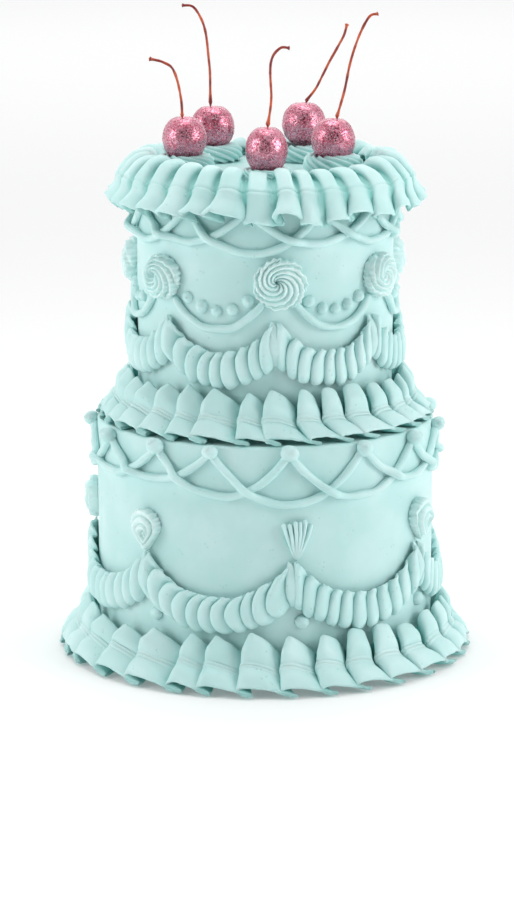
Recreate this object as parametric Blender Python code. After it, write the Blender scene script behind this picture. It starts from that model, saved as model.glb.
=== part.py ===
"""Two-tier piped buttercream cake with five stemmed cherries.

Every piece of piping is a closed solid of its own, wrapped on the upright wall of the tier that
carries it. Azimuth is in degrees round the cake's axis: 0 is the front (-Y), and it grows to the
right. The cake stands on z = 0 with its axis on x = y = 0.
"""
import math
import random

import bmesh
import bpy
from mathutils import Vector

MM = 0.001
GAP = 0.4 * MM
NET_SLIVER = 0.3 * MM
WALL_SLIVER = 0.01 * MM

# Tiers
LOWER_RADIUS = 93.0 * MM
LOWER_TOP = 131.0 * MM
UPPER_RADIUS = 70.2 * MM
UPPER_TOP = 266.0 * MM
RIM_ROUND = 1.6 * MM
TIER_SIDES = 44

# Swags go seven times round each tier: the front edges as piped, the back ones even
SWAG_COUNT = 7
LOWER_PEAKS_FRONT = (-93.0, -41.5, 9.0, 59.5)
UPPER_PEAKS_FRONT = (-95.0, -44.5, 4.5, 51.5)
ROSETTES_FRONT = (-100.0, -49.0, 6.0, 57.0)
SHELLS_FRONT = (-93.5, -42.0, 10.0, 61.5)

# Pleated frills
FOLD_JITTER = 0.12
BASE_FOLDS = 32
BASE_FOLDS_FRONT = (-63.5, -50.0, -37.5, -24.0, -15.5, -4.5, 7.0, 17.5, 27.0, 37.0, 48.0, 60.0, 71.0)
MIDDLE_FOLDS = 31
MIDDLE_FOLDS_FRONT = (-67.0, -56.5, -44.0, -32.5, -21.5, -7.5, 2.0, 14.5, 24.5, 34.5, 47.5, 59.0)
TOP_FOLDS = 33
TOP_FOLDS_FRONT = (-60.0, -49.0, -38.0, -27.0, -17.0, -6.0, 5.5, 14.0, 23.0, 33.5, 45.5, 59.0)

# Strings
STRING_RADIUS = 2.1 * MM
STRING_SAG_POWER = 2.2
STRING_SIDES = 4
CHAIN_RISE = 0.5 * MM
STRING_STEPS = 5
LOWER_STRING_COUNT = 14
LOWER_ATTACH_FRONT = (-88.0, -62.0, -37.5, -17.8, 7.6, 33.0, 56.5, 80.0)
LOWER_ATTACH_HEIGHT = 127.2 * MM
LOWER_STRING_LOWS_FRONT = (108.2 * MM, 110.3 * MM, 104.4 * MM, 100.6 * MM, 102.3 * MM, 107.0 * MM)
LOWER_STRING_LOW = 105.0 * MM
KNOT_RADIUS = 3.6 * MM
UPPER_STRING_COUNT = 12
UPPER_ATTACH_FRONT = (-96.0, -66.0, -36.0, -8.0, 24.0, 52.0, 84.0)
UPPER_ATTACH_HEIGHT = 249.0 * MM
UPPER_STRING_LOWS_FRONT = (232.4 * MM, 234.9 * MM, 229.9 * MM, 235.2 * MM, 233.5 * MM)
UPPER_STRING_LOW = 232.5 * MM

# Rosettes, beads, dots and shells on the walls
ROSETTE_HEIGHT = 214.0 * MM
ROSETTE_RADII_FRONT = (12.0 * MM, 12.0 * MM, 13.2 * MM, 12.0 * MM)
ROSETTE_RADIUS = 12.2 * MM
ROSETTE_DEPTH = 9.6 * MM
ROSETTE_SIDES = 11
# From the wall to the hollow: reach, rise and twist of each ring of lobes
ROSETTE_RINGS = ((1.0, 0.0, 0.0), (1.0, 0.32, 0.0), (0.74, 0.86, 0.5), (0.34, 1.0, 1.0))
ROSETTE_HOLLOW = 0.82
BEAD_STRING_LOW = 189.5 * MM
BEAD_STRING_END = 202.5 * MM
BEAD_STRING_INSET = 8.5
BEAD_RISE = 9.6 * MM
BEAD_RADIUS = 3.1 * MM
BEADS_PER_SWAG = 5
BEAD_MARGIN = 0.75
DOT_RADIUS = 3.8 * MM
DOT_HEIGHT = 35.6 * MM
DOT_SHIFT = 3.0
SHELL_TOP = 92.6 * MM
SHELL_TAIL = 69.6 * MM
SHELL_HALF_WIDTH = 8.8 * MM
SHELL_DEPTH = 8.0 * MM
# Down the shell: place, width and depth; across it: place and lift of each rib
SHELL_STEPS = ((0.0, 0.42, 0.30), (0.14, 0.86, 0.82), (0.40, 1.0, 1.0), (0.72, 0.56, 0.62), (1.0, 0.16, 0.26))
SHELL_RIBS = ((-1.0, 0.0), (-0.82, 0.62), (-0.42, 0.80), (0.0, 1.0), (0.42, 0.80), (0.82, 0.62), (1.0, 0.0))

# Garlands of upright pleats
LOWER_GARLAND_PLEATS = 10
LOWER_GARLAND_PEAK = (68.6 * MM, 45.6 * MM)
LOWER_GARLAND_TROUGH = (48.2 * MM, 29.8 * MM)
UPPER_GARLAND_PLEATS = 8
UPPER_GARLAND_PEAK = (193.5 * MM, 171.0 * MM)
UPPER_GARLAND_TROUGH = (176.0 * MM, 158.2 * MM)
GARLAND_SAG_POWER = 2.3
GARLAND_CREST = 6.6 * MM
GARLAND_VALLEY = 2.8 * MM
GARLAND_VALLEY_INSET = 1.6 * MM
GARLAND_CHAMFER = 2.4 * MM
GARLAND_END_GAP = 0.35

# Cherries stand on five rosettes on the top: name, x, y, height of the centre
CHERRIES = (
    ("front", 0.5 * MM, -42.8 * MM, 281.2 * MM),
    ("left", -43.7 * MM, -13.3 * MM, 284.0 * MM),
    ("back_left", -29.2 * MM, 34.8 * MM, 284.7 * MM),
    ("back_right", 21.5 * MM, 34.8 * MM, 286.6 * MM),
    ("right", 36.6 * MM, -13.3 * MM, 283.1 * MM),
)
CHERRY_HALF_WIDTH = 11.8 * MM
CHERRY_HALF_HEIGHT = 12.2 * MM
CHERRY_FULLNESS = 0.86
CHERRY_DIMPLE = 2.0 * MM
CHERRY_DIMPLE_REACH = 0.45
CHERRY_SIDES = 11
CHERRY_RINGS = 7
TOP_ROSETTE_RADIUS = 15.0 * MM
CUP_CLEARANCE = 0.3 * MM
CUP_LEAST = 1.5 * MM
CUP_LIP = 2.4 * MM
# From the top's surface into the cup: reach, rise and twist of each ring of lobes
CUP_RINGS = ((1.0, 0.0, 0.0), (1.0, 0.30, 0.0), (0.80, 1.0, 0.5), (0.52, 0.92, 1.0))

# Stems: points from the cherry to the tip, as x and height, with how far the tip leans back
STEM_RADIUS = 0.8 * MM
STEM_KNOB_RADIUS = 1.5 * MM
STEM_SIDES = 5
STEM_STEPS = 7
STEMS = {
    "front": (((1.0, 294.0), (2.9, 307.7), (2.6, 327.0), (7.6, 334.6), (12.8, 334.8)), 2.0),
    "left": (((-44.7, 296.0), (-45.4, 305.7), (-49.0, 320.5), (-54.5, 325.0), (-62.4, 327.1)), -3.0),
    "back_left": (((-30.2, 297.0), (-30.8, 317.9), (-33.2, 337.6), (-39.0, 350.4), (-46.1, 352.1)), 3.0),
    "back_right": (((22.6, 299.0), (29.2, 308.0), (36.4, 322.5), (43.0, 334.0), (45.4, 341.5)), 4.0),
    "right": (((38.4, 295.4), (41.7, 306.8), (47.1, 330.8), (54.6, 348.2), (60.3, 351.4)), -2.0),
}

# Finishes: colour, roughness, metallic
ICING = ((0.56, 0.83, 0.80, 1.0), 0.55, 0.0)
CHERRY_SKIN = ((0.46, 0.13, 0.20, 1.0), 0.35, 0.3)
STALK = ((0.33, 0.03, 0.03, 1.0), 0.4, 0.0)


def principled(name, colour, roughness, metallic):
    """A plain Principled BSDF material."""
    material = bpy.data.materials.new(name)
    material.use_nodes = True
    shader = material.node_tree.nodes["Principled BSDF"]
    shader.inputs["Base Color"].default_value = colour
    shader.inputs["Roughness"].default_value = roughness
    shader.inputs["Metallic"].default_value = metallic
    return material


def on_wall(azimuth, radius, height):
    """The point at an azimuth in degrees, a distance from the axis and a height."""
    turn = math.radians(azimuth)
    return Vector((radius * math.sin(turn), -radius * math.cos(turn), height))


def add_solid(name, points, faces, material):
    """One closed mesh object with its faces turned outwards and split into triangles."""
    mesh = bpy.data.meshes.new(name)
    mesh.from_pydata([tuple(point) for point in points], [], faces)
    work = bmesh.new()
    work.from_mesh(mesh)
    bmesh.ops.recalc_face_normals(work, faces=work.faces)
    bmesh.ops.triangulate(work, faces=work.faces, quad_method="FIXED")
    work.to_mesh(mesh)
    work.free()
    mesh.materials.append(material)
    solid = bpy.data.objects.new(name, mesh)
    bpy.context.collection.objects.link(solid)
    return solid


def loft(name, loops, material, ring=False):
    """A skin over a row of equal loops, closed into a ring or capped at both ends."""
    count = len(loops[0])
    points = [point for loop in loops for point in loop]
    faces = []
    spans = len(loops) if ring else len(loops) - 1
    for span in range(spans):
        here = span * count
        there = (span + 1) % len(loops) * count
        for side in range(count):
            following = (side + 1) % count
            faces.append((here + side, here + following, there + following, there + side))
    if not ring:
        faces.append(tuple(range(count)))
        faces.append(tuple(range(len(points) - count, len(points))))
    return add_solid(name, points, faces, material)


def dome(name, rings, base_centre, crown, material):
    """A skin from a base centre over rings of points to a crown point."""
    count = len(rings[0])
    points = [base_centre] + [point for ring in rings for point in ring] + [crown]
    faces = []
    for side in range(count):
        following = (side + 1) % count
        faces.append((0, 1 + side, 1 + following))
        for step in range(len(rings) - 1):
            here = 1 + step * count
            there = here + count
            faces.append((here + side, here + following, there + following, there + side))
        last = 1 + (len(rings) - 1) * count
        faces.append((last + side, last + following, len(points) - 1))
    return add_solid(name, points, faces, material)


def fuse(base, others, sliver):
    """Joins the others to the base with one Boolean union, then drops edges under a sliver's length."""
    group = bpy.data.collections.new("fused_pieces")
    bpy.context.scene.collection.children.link(group)
    for piece in others:
        bpy.context.collection.objects.unlink(piece)
        group.objects.link(piece)
    union = base.modifiers.new("union", "BOOLEAN")
    union.operation = "UNION"
    union.operand_type = "COLLECTION"
    union.collection = group
    union.solver = "EXACT"
    evaluated = base.evaluated_get(bpy.context.evaluated_depsgraph_get())
    joined = bpy.data.meshes.new_from_object(evaluated)
    base.modifiers.clear()
    work = bmesh.new()
    work.from_mesh(joined)
    bmesh.ops.dissolve_degenerate(work, edges=work.edges, dist=sliver)
    bmesh.ops.triangulate(work, faces=work.faces)
    work.to_mesh(joined)
    work.free()
    base.data = joined
    for piece in list(group.objects):
        bpy.data.objects.remove(piece)
    bpy.data.collections.remove(group)
    return base


def spread_round(front, count, jitter=0.0, seed=1):
    """Azimuths round the whole cake: the front ones as given, the others evenly behind."""
    draw = random.Random(seed)
    missing = count - len(front)
    step = (360.0 - (front[-1] - front[0])) / (missing + 1)
    behind = []
    for place in range(missing):
        shift = draw.uniform(-jitter, jitter)
        behind.append(front[-1] + step * (place + 1 + shift))
    return list(front) + behind


def padded(front, count, usual):
    """The front values followed by the usual one for the rest."""
    return list(front) + [usual] * (count - len(front))


def lathe_tier(name, radius, bottom, top, material):
    """A straight cylinder with a slightly rounded upper rim."""
    profile = (
        (radius, bottom),
        (radius, top - RIM_ROUND),
        (radius - RIM_ROUND, top),
    )
    rings = []
    for ring_radius, height in profile:
        ring = [on_wall(360.0 * side / TIER_SIDES, ring_radius, height) for side in range(TIER_SIDES)]
        rings.append(ring)
    return dome(name, rings, Vector((0.0, 0.0, bottom)), Vector((0.0, 0.0, top)), material)


def ball(name, centre, radius, outward, material, sides=5, rings=2):
    """A small faceted ball whose poles lie along the outward direction."""
    outward = outward.normalized()
    across = outward.cross(Vector((0.0, 0.0, 1.0))).normalized()
    upward = across.cross(outward)
    loops = []
    for ring in range(1, rings + 1):
        tilt = math.pi * ring / (rings + 1)
        loop = []
        for side in range(sides):
            turn = 2.0 * math.pi * side / sides
            spoke = across * math.cos(turn) + upward * math.sin(turn)
            loop.append(centre - outward * radius * math.cos(tilt) + spoke * radius * math.sin(tilt))
        loops.append(loop)
    return dome(name, loops, centre - outward * radius, centre + outward * radius, material)


# A pleat from left to right: place along the pleat, and lift from its recess to its crest
FRILL_COLUMNS = ((-0.03, 0.03), (0.04, 0.80), (0.22, 1.0), (0.64, 0.50))
FLAP_COLUMNS = ((-0.03, 0.03), (0.07, 0.95), (0.50, 0.66))
TUBE_COLUMNS = ((-0.02, 0.04), (0.22, 1.0), (0.60, 0.86))


def frill(name, folds, columns, recess, crest, back, material):
    """A ring of pleats: each column blends the recess section into the crest section."""
    loops = []
    for place, start in enumerate(folds):
        following = folds[(place + 1) % len(folds)]
        width = (following - start) % 360.0
        for along, lift in columns:
            azimuth = start + along * width
            loop = [on_wall(azimuth, radius, height) for radius, height in back]
            for low, high in zip(recess, crest):
                radius = low[0] + lift * (high[0] - low[0])
                height = low[1] + lift * (high[1] - low[1])
                loop.append(on_wall(azimuth, radius, height))
            loops.append(loop)
    return loft(name, loops, material, ring=True)


def section(*pairs):
    """Radii and heights given in millimetres, as metres."""
    return [(radius * MM, height * MM) for radius, height in pairs]


def base_frill(material):
    """The frill round the foot of the cake: upright wing, crease, wing lying outwards."""
    recess = section((95.6, 20.5), (98.4, 9.5), (107.5, 4.0), (107.0, 0.0))
    crest = section((99.2, 28.9), (105.4, 14.4), (117.0, 13.6), (113.6, 0.0))
    back = section((93.6, 0.0), (93.6, 19.5))
    folds = spread_round(BASE_FOLDS_FRONT, BASE_FOLDS, FOLD_JITTER, 3)
    return frill("base_frill", folds, FRILL_COLUMNS, recess, crest, back, material)


def middle_frill(material):
    """The frill on the ledge round the foot of the upper tier."""
    recess = section((72.8, 149.0), (76.4, 139.5), (87.0, 133.6), (86.6, 131.4))
    crest = section((76.0, 156.9), (83.6, 144.6), (94.6, 143.0), (92.6, 131.4))
    back = section((70.8, 131.4), (70.8, 148.0))
    folds = spread_round(MIDDLE_FOLDS_FRONT, MIDDLE_FOLDS, FOLD_JITTER, 5)
    return frill("middle_frill", folds, FLAP_COLUMNS, recess, crest, back, material)


def top_frill(material):
    """The frill over the upper rim: a wing lying inwards on the top and a wing hanging outside."""
    recess = section((62.5, 269.2), (74.4, 266.2), (81.0, 252.6), (79.0, 251.4))
    crest = section((62.0, 276.6), (80.6, 265.4), (86.6, 255.2), (83.4, 248.4))
    back = section((70.8, 252.6), (70.8, 266.5), (61.0, 266.5))
    folds = spread_round(TOP_FOLDS_FRONT, TOP_FOLDS, FOLD_JITTER, 7)
    return frill("top_frill", folds, TUBE_COLUMNS, recess, crest, back, material)


def sagging(start, end, attach, low, radius):
    """A string on the wall between two azimuths: its height follows a power of the distance."""
    path = []
    for step in range(STRING_STEPS + 1):
        along = step / STRING_STEPS
        rise = abs(2.0 * along - 1.0) ** STRING_SAG_POWER
        path.append(on_wall(start + along * (end - start), radius, low + (attach - low) * rise))
    return path


def string_tube(name, path, radius, material, ring=False):
    """A tube along a path on the wall, closed into a ring or with flat ends."""
    loops = []
    count = len(path)
    for place, centre in enumerate(path):
        before = path[place - 1] if ring or place > 0 else centre
        after = path[(place + 1) % count] if ring or place < count - 1 else centre
        tangent = (after - before).normalized()
        radial = Vector((centre.x, centre.y, 0.0)).normalized()
        side_way = tangent.cross(radial).normalized()
        outward = side_way.cross(tangent)
        loop = []
        for side in range(STRING_SIDES):
            turn = 2.0 * math.pi * side / STRING_SIDES
            spoke = outward * math.cos(turn) + side_way * math.sin(turn)
            loop.append(centre + spoke * radius)
        loops.append(loop)
    return loft(name, loops, material, ring)


def drop_strings(name, wall, attaches, attach_height, lows, material):
    """Two closed chains of strings, the second a little over the first: each string spans two points."""
    count = len(attaches)
    chains = []
    for first in (0, 1):
        centre_radius = wall + GAP + STRING_RADIUS + first * CHAIN_RISE
        path = []
        for place in range(first, count, 2):
            start = attaches[place]
            end = start + (attaches[(place + 2) % count] - start) % 360.0
            path.extend(sagging(start, end, attach_height, lows[place], centre_radius)[:-1])
        chains.append(string_tube(f"{name}_{first}", path, STRING_RADIUS, material, ring=True))
    chains[0].name = name
    return chains


def bead_string(name, start, end, material):
    """The single string from one rosette to the next, and the places of the beads above it."""
    radius = UPPER_RADIUS + GAP + STRING_RADIUS
    path = sagging(start, end, BEAD_STRING_END, BEAD_STRING_LOW, radius)
    return string_tube(name, path, STRING_RADIUS, material)


def beads_above(start, end, material):
    """Round beads a little way above a bead string, sunk halfway into the wall."""
    pieces = []
    for place in range(BEADS_PER_SWAG):
        along = (place + BEAD_MARGIN) / (BEADS_PER_SWAG - 1 + 2.0 * BEAD_MARGIN)
        rise = abs(2.0 * along - 1.0) ** STRING_SAG_POWER
        height = BEAD_STRING_LOW + BEAD_RISE + (BEAD_STRING_END - BEAD_STRING_LOW) * rise
        azimuth = start + along * (end - start)
        spot = on_wall(azimuth, UPPER_RADIUS, height)
        pieces.append(ball("bead", spot, BEAD_RADIUS, on_wall(azimuth, 1.0, 0.0), material))
    return pieces


def wall_rosette(name, azimuth, height, radius, seed, material):
    """A spiral swirl on the wall: rings of lobes that turn as they rise to a small hollow."""
    draw = random.Random(seed)
    phase = draw.uniform(0.0, 2.0 * math.pi)
    rings = []
    for reach, depth, twist in ROSETTE_RINGS:
        ring = []
        for side in range(ROSETTE_SIDES):
            turn = 2.0 * math.pi * (side + twist) / ROSETTE_SIDES + phase
            across = radius * reach * math.cos(turn)
            upward = radius * reach * math.sin(turn)
            spot = azimuth + math.degrees(across / UPPER_RADIUS)
            ring.append(on_wall(spot, UPPER_RADIUS + GAP + ROSETTE_DEPTH * depth, height + upward))
        rings.append(ring)
    base = on_wall(azimuth, UPPER_RADIUS + GAP, height)
    crown = on_wall(azimuth, UPPER_RADIUS + GAP + ROSETTE_DEPTH * ROSETTE_HOLLOW, height)
    return dome(name, rings, base, crown, material)


def wall_shell(name, azimuth, material):
    """A ridged shell: a fan of ribs at the top that draws together into a tail."""
    wall = LOWER_RADIUS + GAP
    loops = []
    for down, width, depth in SHELL_STEPS:
        height = SHELL_TOP + down * (SHELL_TAIL - SHELL_TOP)
        loop = []
        for across, lift in SHELL_RIBS:
            spot = azimuth + math.degrees(across * width * SHELL_HALF_WIDTH / wall)
            loop.append(on_wall(spot, wall + SHELL_DEPTH * depth * lift, height))
        loops.append(loop)
    return loft(name, loops, material)


def garland(name, wall, start, end, pleats, peak, trough, material):
    """A swag of upright pleats: a valley column and a crest column for each pleat."""
    first = start + GARLAND_END_GAP
    last = end - GARLAND_END_GAP
    inner = wall + GAP
    loops = []
    for column in range(2 * pleats + 1):
        along = column / (2.0 * pleats)
        azimuth = first + along * (last - first)
        rise = abs(2.0 * along - 1.0) ** GARLAND_SAG_POWER
        top = trough[0] + (peak[0] - trough[0]) * rise
        bottom = trough[1] + (peak[1] - trough[1]) * rise
        is_crest = column % 2 == 1
        depth = GARLAND_CREST if is_crest else GARLAND_VALLEY
        inset = 0.0 if is_crest else GARLAND_VALLEY_INSET
        loops.append([
            on_wall(azimuth, inner, bottom + inset),
            on_wall(azimuth, inner, top - inset),
            on_wall(azimuth, inner + depth, top - inset - GARLAND_CHAMFER),
            on_wall(azimuth, inner + depth, bottom + inset + GARLAND_CHAMFER),
        ])
    return loft(name, loops, material)


def cherry_outline(step):
    """Radius and height above the centre at a step from 0, the foot, to 1, the dimple."""
    turn = math.pi * step
    radius = CHERRY_HALF_WIDTH * math.sin(turn) ** CHERRY_FULLNESS
    height = -CHERRY_HALF_HEIGHT * math.cos(turn)
    dip = CHERRY_DIMPLE * max(0.0, 1.0 - radius / (CHERRY_DIMPLE_REACH * CHERRY_HALF_WIDTH))
    if step > 0.5:
        height -= dip
    return radius, height


def cherry(name, x, y, height, material):
    """A round fruit a little taller than wide, with a dimple for its stem."""
    rings = []
    for ring in range(1, CHERRY_RINGS):
        radius, rise = cherry_outline(ring / CHERRY_RINGS)
        loop = []
        for side in range(CHERRY_SIDES):
            turn = 2.0 * math.pi * side / CHERRY_SIDES
            loop.append(Vector((x + radius * math.cos(turn), y + radius * math.sin(turn), height + rise)))
        rings.append(loop)
    foot = Vector((x, y, height - CHERRY_HALF_HEIGHT))
    crown = Vector((x, y, height + CHERRY_HALF_HEIGHT - CHERRY_DIMPLE))
    return dome(name, rings, foot, crown, material)


def top_rosette(name, x, y, cherry_height, material):
    """A swirl that lies on the top and is pressed into a cup by the cherry on it."""
    foot = cherry_height - CHERRY_HALF_HEIGHT
    floor = UPPER_TOP + GAP
    cup = max(foot - GAP - CUP_CLEARANCE, floor + CUP_LEAST) - floor
    lip = cup + CUP_LIP
    rings = []
    for reach, rise, twist in CUP_RINGS:
        ring = []
        for side in range(ROSETTE_SIDES):
            turn = 2.0 * math.pi * (side + twist) / ROSETTE_SIDES
            spoke = TOP_ROSETTE_RADIUS * reach
            height = floor + lip * rise
            ring.append(Vector((x + spoke * math.cos(turn), y + spoke * math.sin(turn), height)))
        rings.append(ring)
    return dome(name, rings, Vector((x, y, floor)), Vector((x, y, floor + cup)), material)


def smooth_route(points, steps):
    """Evenly stepped places on a Catmull-Rom curve through the points."""
    ends = [2.0 * points[0] - points[1]] + list(points) + [2.0 * points[-1] - points[-2]]
    route = []
    spans = len(points) - 1
    for step in range(steps + 1):
        place = spans * step / steps
        span = min(int(place), spans - 1)
        t = place - span
        a, b, c, d = ends[span:span + 4]
        curve = b + 0.5 * t * ((c - a) + t * ((2.0 * a - 5.0 * b + 4.0 * c - d)
                                              + t * (3.0 * (b - c) + d - a)))
        route.append(curve)
    return route


def stem(name, cherry_y, points, lean, material):
    """A thin bent stalk with a knob at its tip."""
    reach = points[-1][1] - points[0][1]
    marks = []
    for x, height in points:
        back = cherry_y / MM + lean * (height - points[0][1]) / reach
        marks.append(Vector((x, back, height)) * MM)
    route = smooth_route(marks, STEM_STEPS)
    loops = []
    for place, centre in enumerate(route):
        tangent = (route[min(place + 1, STEM_STEPS)] - route[max(place - 1, 0)]).normalized()
        side_way = tangent.cross(Vector((0.0, 1.0, 0.0))).normalized()
        other_way = side_way.cross(tangent)
        radius = STEM_KNOB_RADIUS if place == STEM_STEPS else STEM_RADIUS
        loop = []
        for side in range(STEM_SIDES):
            turn = 2.0 * math.pi * side / STEM_SIDES
            spoke = side_way * math.cos(turn) + other_way * math.sin(turn)
            loop.append(centre + spoke * radius)
        loops.append(loop)
    return loft(name, loops, material)


def build_lower_tier(icing):
    """The lower tier with its dots, its frills, strings, shells and garlands."""
    tier = lathe_tier("lower_tier", LOWER_RADIUS, 0.0, LOWER_TOP, icing)
    peaks = spread_round(LOWER_PEAKS_FRONT, SWAG_COUNT)
    dots = []
    for azimuth in peaks:
        spot = on_wall(azimuth + DOT_SHIFT, LOWER_RADIUS, DOT_HEIGHT)
        dots.append(ball("dot", spot, DOT_RADIUS, on_wall(azimuth + DOT_SHIFT, 1.0, 0.0), icing))
    fuse(tier, dots, WALL_SLIVER)
    base_frill(icing)
    attaches = spread_round(LOWER_ATTACH_FRONT, LOWER_STRING_COUNT)
    lows = padded(LOWER_STRING_LOWS_FRONT, LOWER_STRING_COUNT, LOWER_STRING_LOW)
    net = drop_strings("lower_drop_strings", LOWER_RADIUS, attaches, LOWER_ATTACH_HEIGHT, lows, icing)
    for azimuth in attaches:
        spot = on_wall(azimuth, LOWER_RADIUS + GAP + KNOT_RADIUS, LOWER_ATTACH_HEIGHT)
        net.append(ball("knot", spot, KNOT_RADIUS, on_wall(azimuth, 1.0, 0.0), icing))
    fuse(net[0], net[1:], NET_SLIVER)
    for place, azimuth in enumerate(spread_round(SHELLS_FRONT, SWAG_COUNT)):
        wall_shell(f"shell_{place + 1}", azimuth, icing)
    for place, start in enumerate(peaks):
        end = start + (peaks[(place + 1) % SWAG_COUNT] - start) % 360.0
        garland(f"lower_garland_{place + 1}", LOWER_RADIUS, start, end, LOWER_GARLAND_PLEATS,
                LOWER_GARLAND_PEAK, LOWER_GARLAND_TROUGH, icing)


def build_upper_tier(icing):
    """The upper tier with its beads, and the frills, strings, rosettes and garlands on it."""
    tier = lathe_tier("upper_tier", UPPER_RADIUS, LOWER_TOP + GAP, UPPER_TOP, icing)
    middle_frill(icing)
    top_frill(icing)
    attaches = spread_round(UPPER_ATTACH_FRONT, UPPER_STRING_COUNT)
    lows = padded(UPPER_STRING_LOWS_FRONT, UPPER_STRING_COUNT, UPPER_STRING_LOW)
    net = drop_strings("upper_drop_strings", UPPER_RADIUS, attaches, UPPER_ATTACH_HEIGHT, lows, icing)
    fuse(net[0], net[1:], NET_SLIVER)
    centres = spread_round(ROSETTES_FRONT, SWAG_COUNT)
    radii = padded(ROSETTE_RADII_FRONT, SWAG_COUNT, ROSETTE_RADIUS)
    beads = []
    for place, azimuth in enumerate(centres):
        following = azimuth + (centres[(place + 1) % SWAG_COUNT] - azimuth) % 360.0
        wall_rosette(f"rosette_{place + 1}", azimuth, ROSETTE_HEIGHT, radii[place], 20 + place, icing)
        start = azimuth + BEAD_STRING_INSET
        end = following - BEAD_STRING_INSET
        bead_string(f"bead_string_{place + 1}", start, end, icing)
        beads.extend(beads_above(start, end, icing))
    fuse(tier, beads, WALL_SLIVER)
    peaks = spread_round(UPPER_PEAKS_FRONT, SWAG_COUNT)
    for place, start in enumerate(peaks):
        end = start + (peaks[(place + 1) % SWAG_COUNT] - start) % 360.0
        garland(f"upper_garland_{place + 1}", UPPER_RADIUS, start, end, UPPER_GARLAND_PLEATS,
                UPPER_GARLAND_PEAK, UPPER_GARLAND_TROUGH, icing)


def build_cherries(icing, skin, stalk):
    """Five cherries with their stems, each on its own rosette."""
    for name, x, y, height in CHERRIES:
        top_rosette("top_rosette_" + name, x, y, height, icing)
        cherry("cherry_" + name, x, y, height, skin)
        points, lean = STEMS[name]
        stem("stem_" + name, y, points, lean, stalk)


def main():
    for leftover in list(bpy.data.objects):
        bpy.data.objects.remove(leftover)
    icing = principled("icing", *ICING)
    skin = principled("cherry_skin", *CHERRY_SKIN)
    stalk = principled("stalk", *STALK)
    build_lower_tier(icing)
    build_upper_tier(icing)
    build_cherries(icing, skin, stalk)


main()
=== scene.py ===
"""Two-tier piped buttercream cake with five glittered cherries.

Azimuth is in degrees round the cake's axis: 0 is the front (-Y) and it grows to the right (+X).
The shape formulas work in millimetres, and a mesh gets its points in metres.
"""

import logging
import math
from collections.abc import Callable
from dataclasses import dataclass, field
from enum import Enum
from typing import ClassVar

import bmesh
import bpy
import numpy as np
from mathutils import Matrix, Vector


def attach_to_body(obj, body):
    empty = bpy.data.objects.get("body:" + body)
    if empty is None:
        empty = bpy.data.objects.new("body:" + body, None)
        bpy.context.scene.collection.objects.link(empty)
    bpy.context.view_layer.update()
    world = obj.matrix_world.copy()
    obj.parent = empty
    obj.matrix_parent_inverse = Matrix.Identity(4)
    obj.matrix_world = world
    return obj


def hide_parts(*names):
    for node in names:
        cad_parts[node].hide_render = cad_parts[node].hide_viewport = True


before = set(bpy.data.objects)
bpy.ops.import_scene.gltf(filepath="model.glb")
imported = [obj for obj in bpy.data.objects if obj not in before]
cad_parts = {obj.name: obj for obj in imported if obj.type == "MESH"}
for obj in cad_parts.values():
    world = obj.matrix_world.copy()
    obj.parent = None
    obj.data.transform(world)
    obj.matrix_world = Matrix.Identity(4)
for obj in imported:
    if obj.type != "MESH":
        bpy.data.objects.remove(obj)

LOG = logging.getLogger("cake")
MM = 0.001
BODY = "root"
TAU = 2.0 * math.pi
WALL_GAP = 0.4
LOWER_WALL = 93.0
UPPER_WALL = 70.2
LOWER_TOP = 131.0
UPPER_FOOT = 131.4
UPPER_TOP = 266.0

Array = np.ndarray
Span = tuple[float, float]
Row = tuple[float, ...]
Triple = tuple[float, float, float]
Colour = tuple[float, float, float, float]
Material = bpy.types.Material
Socket = bpy.types.NodeSocket


# Formulas

def stacked(x: Array | float, y: Array | float, z: Array | float) -> Array:
    """Places from their three coordinates, which are brought to one shape."""
    return np.stack(np.broadcast_arrays(x, y, z), axis=-1)


def on_wall(azimuth: Array | float, radius: Array | float, height: Array | float) -> Array:
    """Places round the axis: x is radius times the sine of the azimuth, y is minus radius times its cosine.

    Args:
        azimuth: degrees from the front, growing to the right.
        radius: distance from the axis.
        height: distance above the table.

    Returns:
        Points with one more axis than the arguments, of length three.
    """
    turn = np.radians(azimuth)
    return stacked(radius * np.sin(turn), -radius * np.cos(turn), height)


def ripple(points: Array, length: float, seed: int) -> Array:
    """Smooth unevenness from about -1 to 1: the sum of nine plane waves in random directions, over three.

    Args:
        points: places in millimetres, the last axis of length three.
        length: the usual distance from one crest to the next.
        seed: which unevenness.

    Returns:
        One value for each place.
    """
    draw = np.random.default_rng(seed)
    directions = draw.normal(size=(9, 3))
    directions /= np.linalg.norm(directions, axis=1, keepdims=True)
    waves = directions * (TAU * draw.uniform(0.7, 1.5, (9, 1)) / length)
    phases = draw.uniform(0.0, TAU, 9)
    return np.sin(points @ waves.T + phases).sum(axis=-1) / 3.0


def bell(distance: Array, width: float) -> Array:
    """A bell curve: e to minus the square of the distance over the width."""
    return np.exp(-(distance / width) ** 2)


def through(places: tuple[Row, ...], at: Array) -> Array:
    """A Catmull-Rom curve through the places, evenly from the first at 0 to the last at 1.

    Args:
        places: two or more places of any number of coordinates.
        at: where on the curve, from 0 to 1.

    Returns:
        Points on the curve, the last axis holding the coordinates.
    """
    given = np.asarray(places, float)
    ends = np.vstack([2.0 * given[:1] - given[1:2], given, 2.0 * given[-1:] - given[-2:-1]])
    place = np.clip(np.asarray(at, float), 0.0, 1.0) * (len(given) - 1)
    span = np.minimum(place.astype(int), len(given) - 2)
    t = (place - span)[..., None]
    a, b, c, d = (ends[span + shift] for shift in range(4))
    bend = (2.0 * a - 5.0 * b + 4.0 * c - d) + t * (3.0 * (b - c) + d - a)
    return b + 0.5 * t * ((c - a) + t * bend)


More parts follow.
